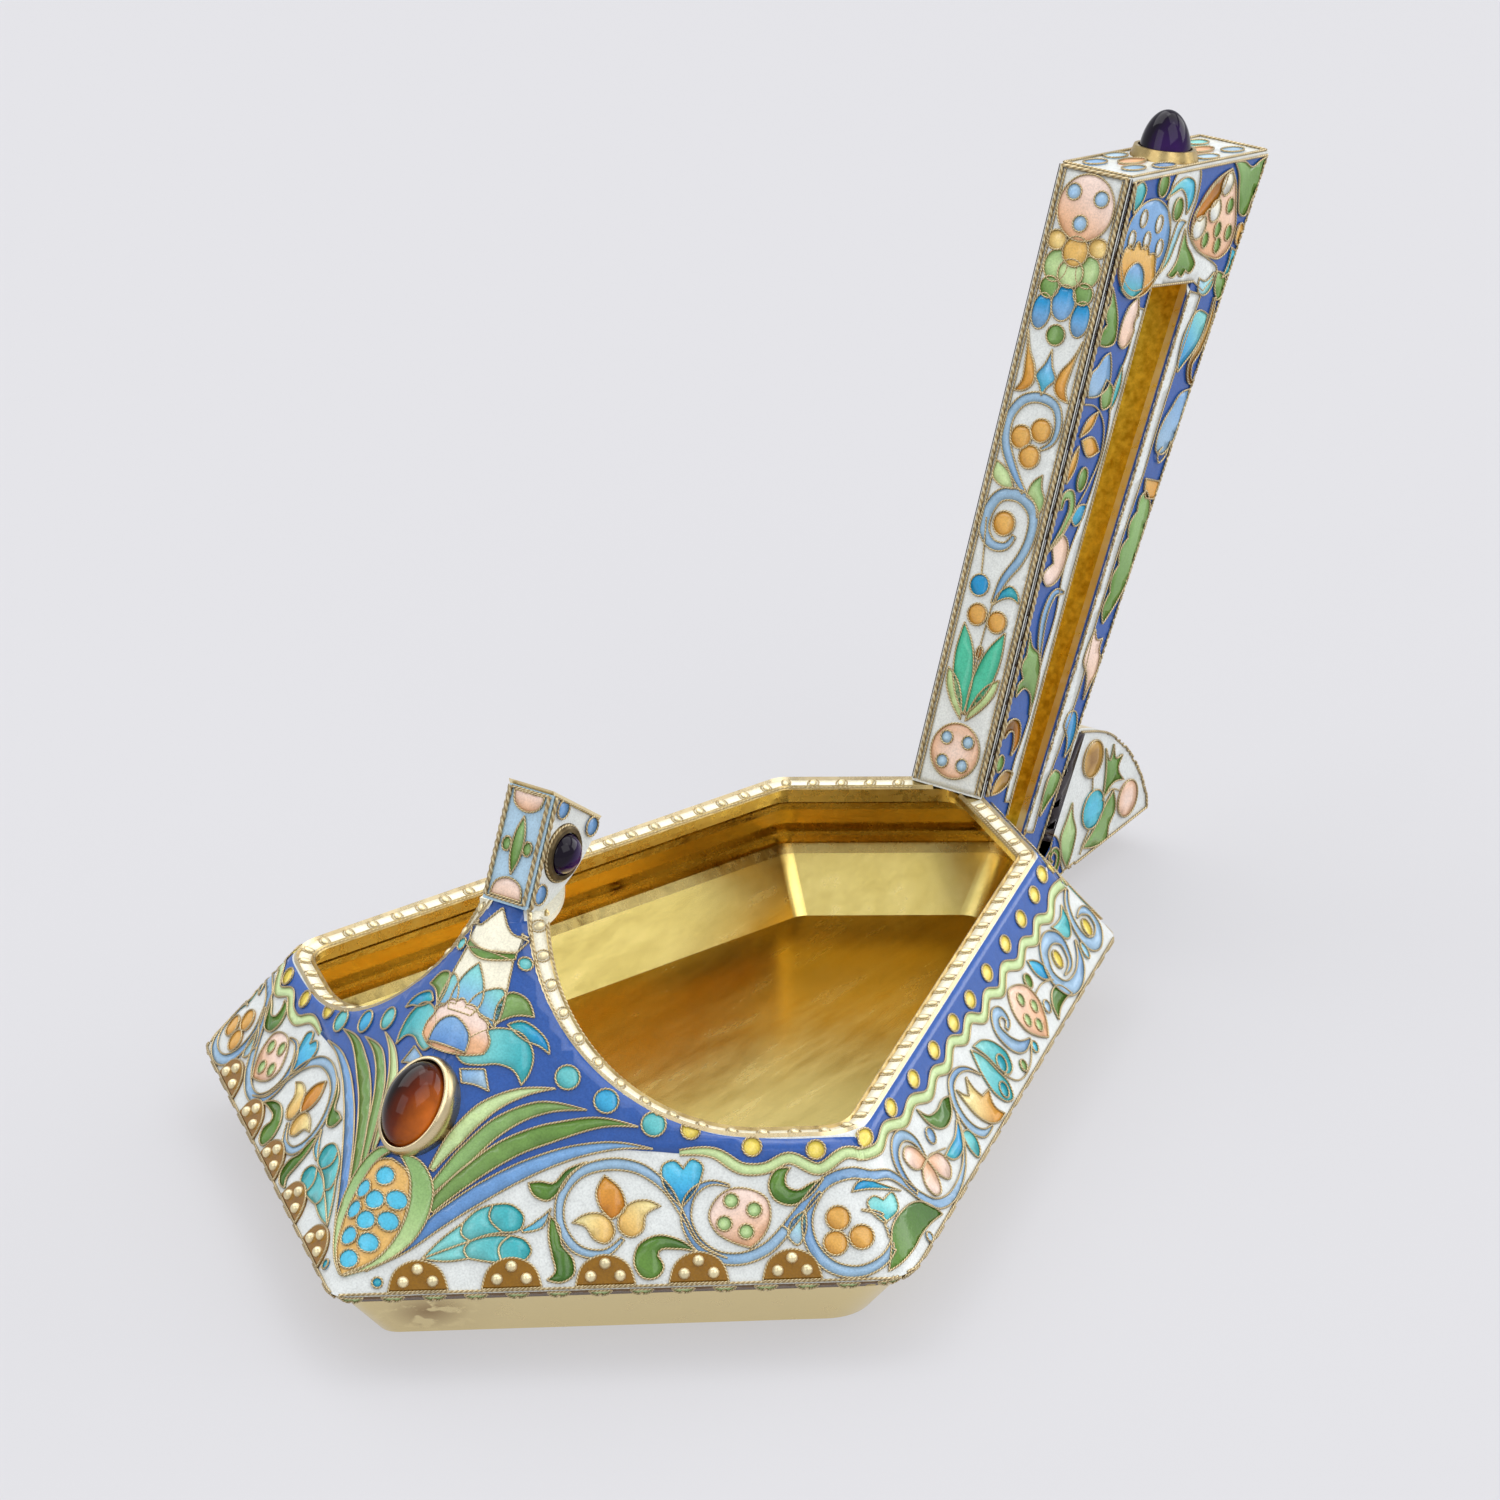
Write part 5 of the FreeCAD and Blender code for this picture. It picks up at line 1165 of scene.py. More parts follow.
def draw_handle_head(p):
    # the blue strawberry with white seeds in an orange cup
    p.leaf([(6.2, 76.3), (9.4, 75.2), (10.7, 72.0), (10.0, 69.3), (8.4, 67.6), (5.0, 66.6), (2.4, 68.0),
            (1.2, 70.6), (1.7, 73.6), (3.7, 75.6)], ("sky", "blue"), ((6, 76), (5, 67)), 2)
    p.discs([(4.2, 74.0), (7.7, 73.9), (5.9, 71.9), (2.7, 71.6), (8.9, 71.5)], 0.7, ("white", "white"),
            up=0.95, level=3)
    p.leaf([(1.7, 70.4, 1), (2.7, 71.1), (3.5, 70.6, 1), (4.2, 71.6), (5.1, 70.9, 1), (6.1, 71.5),
            (7.0, 70.6, 1), (8.2, 70.8), (8.9, 69.4, 1), (9.4, 68.2), (8.5, 66.9), (5.2, 65.9),
            (2.6, 66.9), (1.4, 68.7)], AMBER, ((5, 71), (5, 66.4)), 4)
    p.leaf([(2.9, 66.4, 1), (3.2, 68.4), (4.9, 69.5), (6.7, 68.7), (7.3, 66.7, 1), (5.2, 65.7)],
            ("sky", "turquoise"), ((5, 69), (5, 66)), 5)
    p.disc(6.7, 77.9, 1.0, LEAF, up=1.3)
    p.disc(10.9, 75.9, 1.0, LEAF, up=1.25, level=4)
    p.leaf([(1.0, 77.0, 1), (2.3, 77.6), (3.3, 76.9), (3.1, 75.7), (1.7, 74.2, 1), (1.2, 75.8)], AQUA)
    p.leaf([(7.9, 76.5, 1), (9.4, 78.4), (11.4, 79.4), (13.2, 79.1), (13.8, 77.6), (13.0, 75.6, 1),
            (12.2, 77.2), (10.8, 78.0), (9.4, 77.4)], ("aqua", "berry"), ((8, 76.5), (13.8, 77.0)))
    p.leaf([(13.4, 74.9, 1), (11.9, 74.8), (11.2, 72.9), (10.8, 70.5), (10.2, 68.9, 1), (11.6, 70.4),
            (12.2, 72.3), (12.7, 73.9)], ("pale_sky", "aqua"))
    p.leaf([(13.6, 74.2, 1), (13.4, 72.2), (13.4, 70.9), (12.1, 69.0, 1), (13.3, 68.9), (14.1, 69.6, 1),
            (15.0, 69.2), (15.7, 70.0, 1), (16.7, 69.8), (17.4, 70.8), (16.2, 71.8), (14.8, 72.6)], LEAF)
    # the peach strawberry with a brown and white cap
    p.leaf([(20.6, 81.6, 1), (22.0, 80.4), (23.3, 78.0), (24.3, 75.8), (24.1, 73.6), (22.5, 72.2),
            (20.0, 72.0), (17.0, 72.5), (15.2, 73.6), (14.7, 75.4), (16.2, 77.8), (18.4, 80.2)],
            ("peach", "deep_peach"), ((21.5, 79), (18, 72.5)), 2)
    p.leaf([(19.9, 81.3, 1), (17.6, 79.8), (15.8, 77.6), (14.9, 75.6, 1), (16.3, 75.4), (17.3, 76.6),
            (18.6, 77.4), (19.4, 78.8), (19.9, 80.2)], ("brown", "deep_orange"), None, 3)
    for outline in (
        [(20.7, 81.3, 1), (19.5, 80.6), (19.2, 79.3), (20.2, 78.6), (21.2, 79.3), (21.5, 80.5)],
        [(19.4, 78.2, 1), (18.2, 77.6), (17.8, 76.5), (18.6, 75.6), (19.8, 76.0), (20.1, 77.2)],
        [(17.3, 76.0, 1), (15.6, 75.6), (14.9, 74.4), (15.7, 73.4), (17.2, 73.8), (17.7, 75.0)],
    ):
        p.leaf(outline, ("cream", "white"), level=4)
    p.discs([(22.0, 77.8), (20.5, 75.0), (23.0, 75.0), (18.3, 73.6), (21.2, 73.4)], 0.72, LEAF, up=0.9)
    p.leaf([(20.9, 82.3, 1), (22.3, 81.3), (23.3, 79.3), (24.6, 77.2), (25.8, 77.2), (26.5, 79.2),
            (27.4, 80.6), (27.6, 83.9, 1), (26.4, 83.3), (25.0, 82.4), (23.0, 82.7)], LEAF)
    p.disc(25.6, 75.2, 0.8, AMBER, up=1.2)
    p.leaf([(24.6, 73.6, 1), (26.1, 73.3, 1), (25.8, 71.5), (24.0, 70.2, 1), (24.7, 71.8)], BERRY)
    p.leaf([(22.7, 70.8, 1), (24.8, 70.4), (25.4, 68.9), (24.2, 67.8, 1), (23.0, 69.0)], LEAF)
    p.leaf([(19.2, 69.6, 1), (20.8, 69.5), (22.1, 70.6, 1), (22.3, 69.2), (21.2, 68.0), (19.6, 68.2)],
            ("pale_sky", "aqua"))


def draw_handle_bars(p):
    # the front bar, from the head down
    p.leaf([(1.2, 66.4, 1), (2.3, 65.3), (4.1, 62.6), (4.3, 60.9), (2.9, 60.3), (1.3, 60.3, 1),
            (1.3, 61.8), (1.9, 62.5, 1), (1.1, 63.6), (1.5, 64.6, 1)], LEAF)
    p.leaf([(7.2, 66.0, 1), (5.8, 65.0), (5.0, 63.0), (5.3, 60.9), (6.3, 60.5), (7.5, 61.4),
            (7.9, 62.6, 1), (7.5, 63.3), (8.1, 64.2, 1), (7.6, 65.2)], PINK)
    p.leaf([(4.0, 59.8, 1), (5.0, 58.2), (5.3, 56.5), (3.7, 55.2), (1.5, 54.8, 1), (1.1, 56.0),
            (1.2, 57.4, 1), (2.2, 58.2), (2.9, 59.2)], SKY)
    p.leaf([(4.6, 57.0, 1), (6.4, 56.2), (6.6, 54.6), (5.2, 53.9), (4.2, 55.2)], MOSS)
    p.leaf([(7.2, 58.8, 1), (7.8, 57.0), (7.4, 54.8), (6.8, 53.8, 1), (6.7, 56.4)], AQUA)
    p.wire(smooth_run([(1.3, 54.0), (3.8, 54.0), (6.3, 52.4), (7.2, 49.5), (6.2, 46.0), (4.4, 42.8),
            (2.6, 39.8), (1.2, 38.4)]), level=1)
    p.leaf([(1.9, 50.6, 1), (2.6, 52.4), (4.5, 53.6, 1), (3.9, 51.9)], AMBER)
    p.leaf([(2.5, 50.3, 1), (4.6, 50.9), (6.6, 49.6, 1), (4.6, 48.8)], AMBER)
    p.leaf([(2.2, 49.7, 1), (2.5, 47.5), (1.4, 45.6, 1), (1.2, 47.8)], AMBER)
    p.disc(4.5, 46.4, 0.95, LEAF, up=1.3)
    p.band([(1.6, 42.9), (1.7, 44.3), (3.0, 44.6), (3.8, 43.2), (3.2, 41.2), (1.2, 38.6)],
            [0.5, 1.0, 1.1, 1.1, 0.8, 0.1], LEAF)
    p.leaf([(4.2, 42.2, 1), (5.3, 43.7), (6.7, 43.9, 1), (6.6, 42.5), (5.4, 41.5)], AZURE)
    p.leaf([(1.2, 35.8), (2.8, 37.3, 1), (1.7, 38.9, 1), (3.2, 40.4), (4.8, 39.6), (5.2, 37.4),
            (4.0, 35.3), (2.4, 34.9)], PINK)
    p.band([(6.4, 34.5), (4.6, 34.3), (3.6, 32.4), (3.8, 29.8), (5.0, 26.8)], [0.3, 1.0, 1.2, 0.9, 0.0],
            SKY)
    p.leaf([(1.4, 29.9, 1), (2.4, 28.6), (4.6, 27.6), (5.5, 25.5), (5.4, 21.3, 1), (4.5, 23.5),
            (2.9, 24.0), (1.7, 23.0, 1), (1.5, 24.2), (2.3, 25.0, 1), (1.3, 26.3), (1.8, 27.4, 1)], MOSS)
    p.band([(1.2, 18.7), (1.9, 19.9), (3.2, 20.0), (4.0, 18.7), (3.6, 16.9)], [0.6, 1.3, 1.4, 1.2, 0.1],
            ("brown", "deep_orange"))
    p.disc(1.7, 15.9, 0.75, LEAF, up=0.95)
    p.leaf([(5.0, 15.1, 1), (3.1, 15.2), (1.8, 13.9), (1.4, 12.5, 1), (3.2, 13.0), (4.3, 13.8)],
            ("brown", "amber"))
    # the rear bar, from the head down
    p.leaf([(23.0, 66.1, 1), (20.5, 66.2), (19.2, 64.4), (18.8, 62.6), (18.9, 60.9), (19.3, 59.4, 1),
            (20.4, 60.6), (21.8, 62.1), (22.8, 64.0)], ("aqua", "azure"))
    p.band([(23.6, 68.0), (23.7, 65.0), (22.9, 62.5), (21.7, 60.4), (22.6, 58.8), (23.7, 58.9)],
            [0.3, 0.7, 0.9, 0.9, 0.8, 0.3], ("amber", "brown"), 3)
    p.leaf([(22.9, 58.0, 1), (21.3, 57.4), (19.9, 55.5), (18.9, 54.0), (18.4, 52.3), (18.8, 50.9),
            (20.1, 50.6), (22.2, 52.7), (22.9, 55.0)], SKY)
    p.stem([(21.4, 52.2), (20.9, 50.4), (19.9, 49.7), (19.3, 50.6), (20.0, 51.4)], level=4)
    p.leaf([(18.2, 47.8, 1), (21.2, 47.8, 1), (21.4, 46.3), (19.0, 45.8, 1), (18.4, 46.8)], AMBER)
    p.leaf([(18.9, 46.6, 1), (20.3, 45.4), (20.6, 41.6), (19.9, 37.8), (18.4, 34.6), (16.4, 31.9, 1),
            (15.6, 33.2), (16.3, 35.3, 1), (15.9, 36.6), (16.8, 38.3, 1), (16.3, 39.6), (17.4, 41.3, 1),
            (17.0, 42.7), (18.0, 44.2, 1), (17.9, 45.6)], LEAF, ((19, 46), (16, 32)))
    p.leaf([(15.2, 31.2, 1), (14.4, 29.0), (14.3, 27.6), (15.5, 26.5), (16.2, 23.6, 1), (16.9, 25.5),
            (17.7, 27.0), (17.5, 28.6, 1), (17.1, 29.1), (17.2, 30.4, 1), (16.0, 30.2)], PINK)
    p.leaf([(13.4, 20.6, 1), (13.9, 22.1), (15.2, 22.3), (16.2, 20.6), (16.1, 18.9), (15.1, 17.3, 1),
            (14.9, 19.0)], ("sky", "azure"))
    p.leaf([(13.8, 15.9, 1), (15.3, 15.4), (15.0, 13.7), (13.9, 12.2), (13.0, 10.8, 1), (12.6, 13.0),
            (12.8, 14.9)], LEAF)


def draw_handle_top(p):
    for sign in (1, -1):
        p.wire([(sign * 4.1, 0.3), (sign * 4.1, 28.6)], scale=1.4)
    p.wire([(-4.0, 0.25), (4.0, 0.25)], scale=1.4)
    p.wire([(-4.0, 28.6), (4.0, 28.6)], scale=1.4)
    petals = [(-2.3, 3.6, 1.9, "sky"), (1.7, 4.7, 1.9, "scroll_pale"), (-0.4, 7.9, 2.4, "deep_peach"),
            (-3.0, 9.0, 1.9, "pale_sky"), (2.7, 9.3, 1.9, "steel_blue"), (-2.7, 18.4, 1.9, "pale_sky"),
            (2.7, 18.4, 1.9, "pale_sky"), (0.2, 21.2, 2.4, "deep_peach"), (-2.1, 24.6, 1.8, "aqua"), (2.1,
            24.8, 1.9, "scroll_pale")]
    for x, t, length, name in petals:
        p.disc(x, t, 0.95, (name, name), up=length)


def draw_handle_back(p):
    """The back isn't seen in the photograph: it carries a plain climbing plant."""
    for sign in (1, -1):
        p.rope([(sign * 3.98, 0.5), (sign * 3.98, 78.4)])
    p.wire([(-3.9, 78.4), (3.9, 78.4)], scale=1.4)
    for number in range(5):
        low = 12.0 + 13.0 * number
        p.stem([(0, low - 6.0), (0, low - 1.2)])
        p.disc(0, low, 1.2, AMBER)
        p.twins([(0.3, low + 1.6, 1), (2.0, low + 2.4), (2.9, low + 4.4), (2.6, low + 6.4, 1),
            (1.0, low + 5.0), (0.3, low + 3.4)], AQUA)
        p.twins([(0.3, low - 5.6, 1), (1.6, low - 4.9), (2.8, low - 3.0), (2.9, low - 1.2, 1),
            (1.3, low - 2.2)], SPRING)


# The post


def draw_post_front(p):
    for sign in (1, -1):
        p.rope([(sign * 2.2, 0.35), (sign * 2.2, 10.8)])
    p.wire([(-2.1, 0.35), (2.1, 0.35)], scale=1.3)
    p.wire([(-2.1, 10.75), (2.1, 10.75)], scale=1.3)
    p.leaf([(-1.75, 0.6, 1), (1.75, 0.6, 1), (1.4, 1.9), (0, 2.5), (-1.4, 1.9)], ("peach", "pink"),
            ((0, 0.5), (0, 2.5)))
    p.leaf([(-1.7, 10.6, 1), (-1.4, 9.4), (0, 8.8), (1.4, 9.4), (1.7, 10.6, 1)], PEACH,
            ((0, 10.8), (0, 8.6)))
    p.leaf([(0, 8.4, 1), (-0.55, 6.8), (-0.65, 5.6), (-0.5, 4.2), (0, 2.8, 1), (0.5, 4.2), (0.65, 5.6),
            (0.55, 6.8)], LEAF)
    for sign in (1, -1):
        p.disc(sign * 1.18, 5.5, 0.5, LEAF, up=0.7)


def draw_post_side(p):
    p.ground([(0.0, 0.0, 1), (0.28, 0.3, 1), (4.6, 9.9, 1), (4.45, 9.75, 1)], "shadow", 0)
    p.rope([(0.5, -0.2), (4.9, 9.7)])
    p.wire([(4.9, 9.75), (11.5, 4.95)], scale=1.2)
    for y, z, radius in ((5.9, 8.1, 0.95), (10.35, 4.6, 0.95), (2.1, 0.8, 1.0)):
        p.disc(y, z, radius, ("sky", "steel_blue"))
    p.wire(oval(5.8, 3.6, 2.7), True, 1, 1.3)


# The tail


def draw_tail(p):
    p.wire(smooth_run([(58.6, 3.0), (78.5, 4.2, 1), (78.0, 7.6), (75.2, 11.9), (70.6, 15.9),
            (64.4, 18.5, 1)]), scale=1.3)
    p.disc(66.9, 14.4, 2.0, ("brown", "amber"), up=2.1)
    p.disc(67.1, 8.4, 2.2, BERRY, up=2.2)
    p.disc(74.3, 6.9, 2.0, PEACH, up=2.1)
    p.leaf([(69.6, 14.6, 1), (70.4, 12.9), (71.2, 14.5, 1), (71.8, 12.6), (73.0, 12.6), (72.2, 11.6),
            (73.4, 9.5, 1), (71.0, 9.9), (69.0, 8.6, 1), (69.6, 11.6)], LEAF)
    p.leaf([(62.9, 10.8, 1), (63.0, 9.3), (63.7, 7.2), (63.1, 5.2), (62.0, 3.5, 1), (60.8, 5.6),
            (60.7, 7.8), (61.6, 9.0)], SPRING)
    p.leaf([(65.0, 4.6, 1), (67.6, 6.1), (70.0, 8.2), (71.3, 9.0, 1), (71.7, 6.5), (70.4, 5.0),
            (70.2, 3.7), (68.0, 3.7)], MOSS)
    p.stem([(66.9, 12.3), (66.9, 10.6)])
    p.stem([(69.2, 8.9), (70.7, 9.3), (72.5, 8.5)])
    p.stem([(66.4, 6.3), (65.4, 5.2), (64.6, 4.0)])
    p.leaf([(57.4, 7.2, 1), (58.9, 8.6), (60.3, 7.2), (60.6, 5.0), (61.2, 3.3, 1), (58.0, 3.1, 1)],
            ("cobalt", "cobalt"))
    p.band([(57.8, 3.9), (59.6, 4.4), (60.0, 6.0), (59.0, 6.8), (58.3, 6.0), (58.9, 5.4)],
            [0.7, 0.8, 0.7, 0.5, 0.3], LEAF, 4)


# The rim


class RimPanel(Panel):
    """A sheet along the top of the rim: u runs along its outer line, v inwards."""

    def __init__(self, name, nodes, slot, twin):
        super().__init__(name, (0, 0, 0), (1, 0, 0), (0, 1, 0), nodes, slot, twin)
        self.line = rim_line()
        self.along = length_along(self.line)

    def lay(self, flat):
        flat = np.asarray(flat, float).reshape(-1, 2)

        def at(s):
            return np.stack([np.interp(s, self.along, self.line[:, k]) for k in range(3)], 1)

        slope = at(flat[:, 0] + RIM_REACH) - at(flat[:, 0] - RIM_REACH)
        slope /= np.linalg.norm(slope, axis=1)[:, None]
        inward = np.stack([-slope[:, 1], slope[:, 0], 0 * slope[:, 0]], 1)
        inward /= np.linalg.norm(inward, axis=1)[:, None]
        inward[:, 2] = -RIM_FALL
        places = at(flat[:, 0]) + inward * flat[:, 1:]
        normals = np.cross(slope, inward)
        return places, normals / np.linalg.norm(normals, axis=1)[:, None]


def rim_line():
    """The outer top edge of the rim band, from the post round the right side to the stern."""
    mesh = frame["nodes"]["rim_band"].data
    points = np.array([v.co / MM for v in mesh.vertices])
    points = points[points[:, 0] > -0.01]
    along, up = facet_axes(PROW, SHOULDER, SLOPES["front"])
    height = (points - PROW) @ np.cross(along, up)
    crest = (np.abs(points[:, 2] - RIM_Z) < 0.012) | ((np.abs(height) < 0.02) & (points[:, 2] > RIM_Z))
    points = points[crest]
    points = points[np.argsort(np.arctan2(points[:, 0], -points[:, 1]))]
    apart = np.linalg.norm(np.diff(points, axis=0), axis=1) > 0.02
    return points[np.concatenate([[True], apart])]


def draw_rim(p):
    end = p.along[-1] - RIM_TONGUE
    low, high = RIM_BAND
    outline = smooth_run([(0.0, low, 1), (end, low, 1), (end, high, 1), (0.0, high, 1)], True)
    dense = []
    for here, after in zip(outline, np.roll(outline, -1, 0)):
        steps = max(1, round(np.linalg.norm(after - here) / STEP))
        dense += [here + (after - here) * k / steps for k in range(steps)]
    p.cell(np.array(dense), ("cream",), None, 0, wire=False)
    count = round(end / RIM_BEAD_GAP)
    for number in range(count):
        s = (number + 0.5) * end / count
        ends, _ = p.lay([(s + 0.1, 0.75), (s - 0.1, 1.35)])
        p.grain(s, 1.05, 0.4, squash=0.5, stretch=1.4, heading=ends[1] - ends[0])
        p.wire(oval(s, 1.05, 0.8, 0.58, 108), True, 0, 0.75)
    for v in RIM_WIRES:
        p.wire([(s, v) for s in np.arange(0.1, end, STEP)], level=0, scale=1.35)


# The girth


def draw_girth(p, length):
    """The edge of the wide line: a strip of painted shade under the shoulder's step, and small pale
    scallops over it.
    """
    # painted shade under the shoulder's overhang, showing between the scallops
    p.ground([(0.4, -0.85, 1), (length - 0.4, -0.85, 1), (length - 0.4, -0.06, 1), (0.4, -0.06, 1)],
            "girth_step_shadow", -1)
    count = round(length / SCALLOP_GAP)
    for number in range(count):
        u = (number + 0.5) * length / count
        p.field([(u - 1.05, -0.05, 1), (u + 1.05, -0.05, 1), (u + 0.75, -0.62), (u, -0.92),
            (u - 0.75, -0.62)], ("pale_leaf", "ribbon"), ((u, 0), (u, -0.9)))


# The stones and their bezels

# how far a stone's middle is painted towards its glow, and how much lighter its painted lit side is
STONE_GLOW = 0.24
STONE_FALL = 0.80


def stone_frame(node, normal, up):
    """A node's axes, its middle and half sizes along them, and its lowest and highest level."""
    points = np.array([v.co / MM for v in frame["nodes"][node].data.vertices])
    axes = np.array([np.cross(up, normal), up, normal])
    spread = points @ axes.T
    low, high = spread.min(0), spread.max(0)
    half = (high - low) / 2
    return axes, (low + high) / 2, half, low[2], high[2]


def rings_mesh(axes, middle, rings):
    """Ovals at rising heights joined into a skin; rings are (half across, half up, height)."""
    sides = STONE_SIDES
    turn = np.arange(sides) * TAU / sides
    flat = [np.stack([a * np.cos(turn), b * np.sin(turn), np.full(sides, h)], 1) for a, b, h in rings]
    points = np.concatenate(flat) + np.array([middle[0], middle[1], 0])
    faces = []
    for r in range(len(rings) - 1):
        for k in range(sides):
            m = (k + 1) % sides
            faces.append((r * sides + k, r * sides + m, (r + 1) * sides + m, (r + 1) * sides + k))
    return points @ axes, faces


def smooth_stone(node, normal, up, colours, glow, slot):
    """A polished dome in place of a plain stone, with painted shade on one side and a painted glow of
    light on the other.
    """
    axes, middle, half, low, high = stone_frame(node, normal, up)
    tilts = np.linspace(0, math.pi / 2, STONE_RINGS + 1)[:-1]
    rings = [(*(half[:2] * math.cos(t)), low + (high - low) * math.sin(t)) for t in tilts]
    points, faces = rings_mesh(axes, middle, rings)
    top = np.array([[middle[0], middle[1], high]]) @ axes
    last = len(points) - STONE_SIDES
    faces += [(last + k, last + (k + 1) % STONE_SIDES, len(points)) for k in range(STONE_SIDES)]
    faces.append(tuple(range(STONE_SIDES))[::-1])
    points = np.concatenate([points, top])
    # painted light: from painted shade on the far side, through the middle tone, to a painted glow
    # towards the glow direction
    spread = (points @ axes.T - middle) / half
    share = np.clip(STONE_GLOW + STONE_FALL * (spread[:, :2] @ glow), 0, 1)[:, None]
    dark, mid, lit_tone = (linear(name) for name in colours)
    first = dark * (1 - share * 2) + mid * share * 2
    second = mid * (2 - share * 2) + lit_tone * (share * 2 - 1)
    tint = np.where(share < 0.5, first, second)
    stone = new_object(f"{node}_polished", points * MM, faces, tint)
    stone.data.materials.append(PAINTS[slot])
    finish_piece(stone, node)


def smooth_bezel(node, stone, normal, up, slot):
    """A collar with a rounded lip round a stone."""
    axes, middle, half, low, high = stone_frame(node, normal, up)
    _, _, bore, _, _ = stone_frame(stone, normal, up)
    wall = half[0] - bore[0]
    profile = [(0.02, low), (0.02, high - 0.12), (0.2, high), (0.42, high - 0.05), (0.7, high - 0.3),
               (0.92, high - 0.75), (1.0, high - 1.0), (1.0, low)]
    rings = [(bore[0] + wall * out, bore[1] + wall * out, height) for out, height in profile]
    points, faces = rings_mesh(axes, middle, rings)
    last = len(points) - STONE_SIDES
    faces += [(last + k, last + (k + 1) % STONE_SIDES, (k + 1) % STONE_SIDES, k)
              for k in range(STONE_SIDES)]
    ring = new_object(f"{node}_rounded", points * MM, [face[::-1] for face in faces])
    ring.data.materials.append(PAINTS[slot])
    finish_piece(ring, node)


def finish_piece(piece, node):
    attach(piece, "root")
    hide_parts(node)


# Light, floor and camera

FLOOR_REACH = 3.0
FLOOR_DARK = (0.50, 0.495, 0.505, 1)
FLOOR_PALE = (0.52, 0.515, 0.525, 1)
FLOOR_GLOW_SHARE = 0.6
FLOOR_GLOW = (0.755, 0.75, 0.785, 1)
# name, place and target in metres, size, watts
LAMPS = (
    ("key", (-0.6, 0.2, 1.05), (0, 0, 0.02), (1.3, 1.1), 9.5),
    ("fill_right", (0.95, -0.2, 0.92), (0, 0, 0.03), (1.0, 0.9), 4.7),
    ("fill_left", (-0.15, -1.1, 0.75), (0, 0, 0.03), (0.8, 0.8), 3.0),
    ("back", (0.6, 0.92, 0.42), (0, 0, 0.03), (1.1, 0.5), 4.2),
    ("roof", (0.35, 0.55, 1.25), (0, 0, 0.0), (1.3, 1.1), 6.5),
)
# the photograph's view, worked out from the hull's corners
VIEW_RIGHT = (0.82459, 0.56573, 0.0)
VIEW_UP = (-0.23877, 0.34802, 0.90657)
VIEW_BACK = (0.51288, -0.74755, 0.42205)
VIEW_PLACE = (0.3013, -0.4303, 0.2845)


def lift_shadows(tree, shader):
    """Gives the floor part of its tone as a glow, so the shadow on it stays faint."""
    path = add_node(tree, "ShaderNodeLightPath")
    seen = path.outputs["Is Camera Ray"]
    for kind in ("Is Glossy Ray", "Is Transmission Ray"):
        either = add_node(tree, "ShaderNodeMath", operation="MAXIMUM")
        tree.links.new(seen, either.inputs[0])
        tree.links.new(path.outputs[kind], either.inputs[1])
        seen = either.outputs["Value"]
    part = add_node(tree, "ShaderNodeMath", operation="MULTIPLY")
    part.inputs[1].default_value = FLOOR_GLOW_SHARE
    tree.links.new(seen, part.inputs[0])
    glow = add_node(tree, "ShaderNodeEmission", Color=FLOOR_GLOW)
    mix = add_node(tree, "ShaderNodeMixShader")
    tree.links.new(part.outputs["Value"], mix.inputs["Fac"])
    tree.links.new(shader.outputs["BSDF"], mix.inputs[1])
    tree.links.new(glow.outputs["Emission"], mix.inputs[2])
    tree.links.new(mix.outputs["Shader"], tree.nodes["Material Output"].inputs["Surface"])


def make_floor():
    corners = [(x * FLOOR_REACH, y * FLOOR_REACH, 0) for x, y in ((-1, -1), (1, -1), (1, 1), (-1, 1))]
    floor = new_object("floor", corners, [(0, 1, 2, 3)], smooth=False)
    made, tree, shader = start_material("floor_paper")
    tone = object_noise(tree, 1.2, 1.0)
    source = ramp(tree, tone.outputs["Fac"], [(0.3, FLOOR_DARK), (0.7, FLOOR_PALE)])
    tree.links.new(source, shader.inputs["Base Color"])
    shader.inputs["Roughness"].default_value = 0.6
    lift_shadows(tree, shader)
    floor.data.materials.append(made)


def make_lamp(name, place, target, size, power):
    lamp = bpy.data.lights.new(name, "AREA")
    lamp.shape = "RECTANGLE"
    lamp.size, lamp.size_y = size
    lamp.energy = power
    thing = bpy.data.objects.new(name, lamp)
    bpy.context.scene.collection.objects.link(thing)
    thing.location = place
    thing.rotation_euler = (Vector(target) - Vector(place)).to_track_quat("-Z", "Y").to_euler()


def make_world():
    world = bpy.data.worlds.new("studio")
    bpy.context.scene.world = world
    world.use_nodes = True
    sky = world.node_tree.nodes["Background"]
    sky.inputs["Color"].default_value = (0.92, 0.95, 1.0, 1)
    sky.inputs["Strength"].default_value = 0.64


def make_camera():
    lens = bpy.data.cameras.new("view")
    lens.lens, lens.sensor_width, lens.sensor_fit = 144.0, 36.0, "HORIZONTAL"
    lens.clip_start, lens.clip_end = 0.01, 20.0
    camera = bpy.data.objects.new("view", lens)
    bpy.context.scene.collection.objects.link(camera)
    turn = Matrix((VIEW_RIGHT, VIEW_UP, VIEW_BACK)).transposed().to_4x4()
    camera.matrix_world = Matrix.Translation(VIEW_PLACE) @ turn
    bpy.context.scene.camera = camera


# The sheets of each part of the object, in the order in which their pieces are made

FACETS = (("front", PROW, SHOULDER), ("side", SHOULDER, HIP), ("rear", HIP, STERN))
# each stone's painted shade, its middle tone and its painted glow
GARNET = ("garnet_dark", "garnet_mid", "garnet_painted_glow")
AMETHYST = ("amethyst_dark", "amethyst_mid", "amethyst_painted_glow")
DEEP_AMETHYST = ("amethyst_dark", "amethyst_dark", "amethyst_mid")
HANDLE_HALF = 4.3
HANDLE_LEAN = (0, 0.4097, 0.9122)
POST_HALF = 2.5
POST_Y, POST_Z = -31.5, 36.3


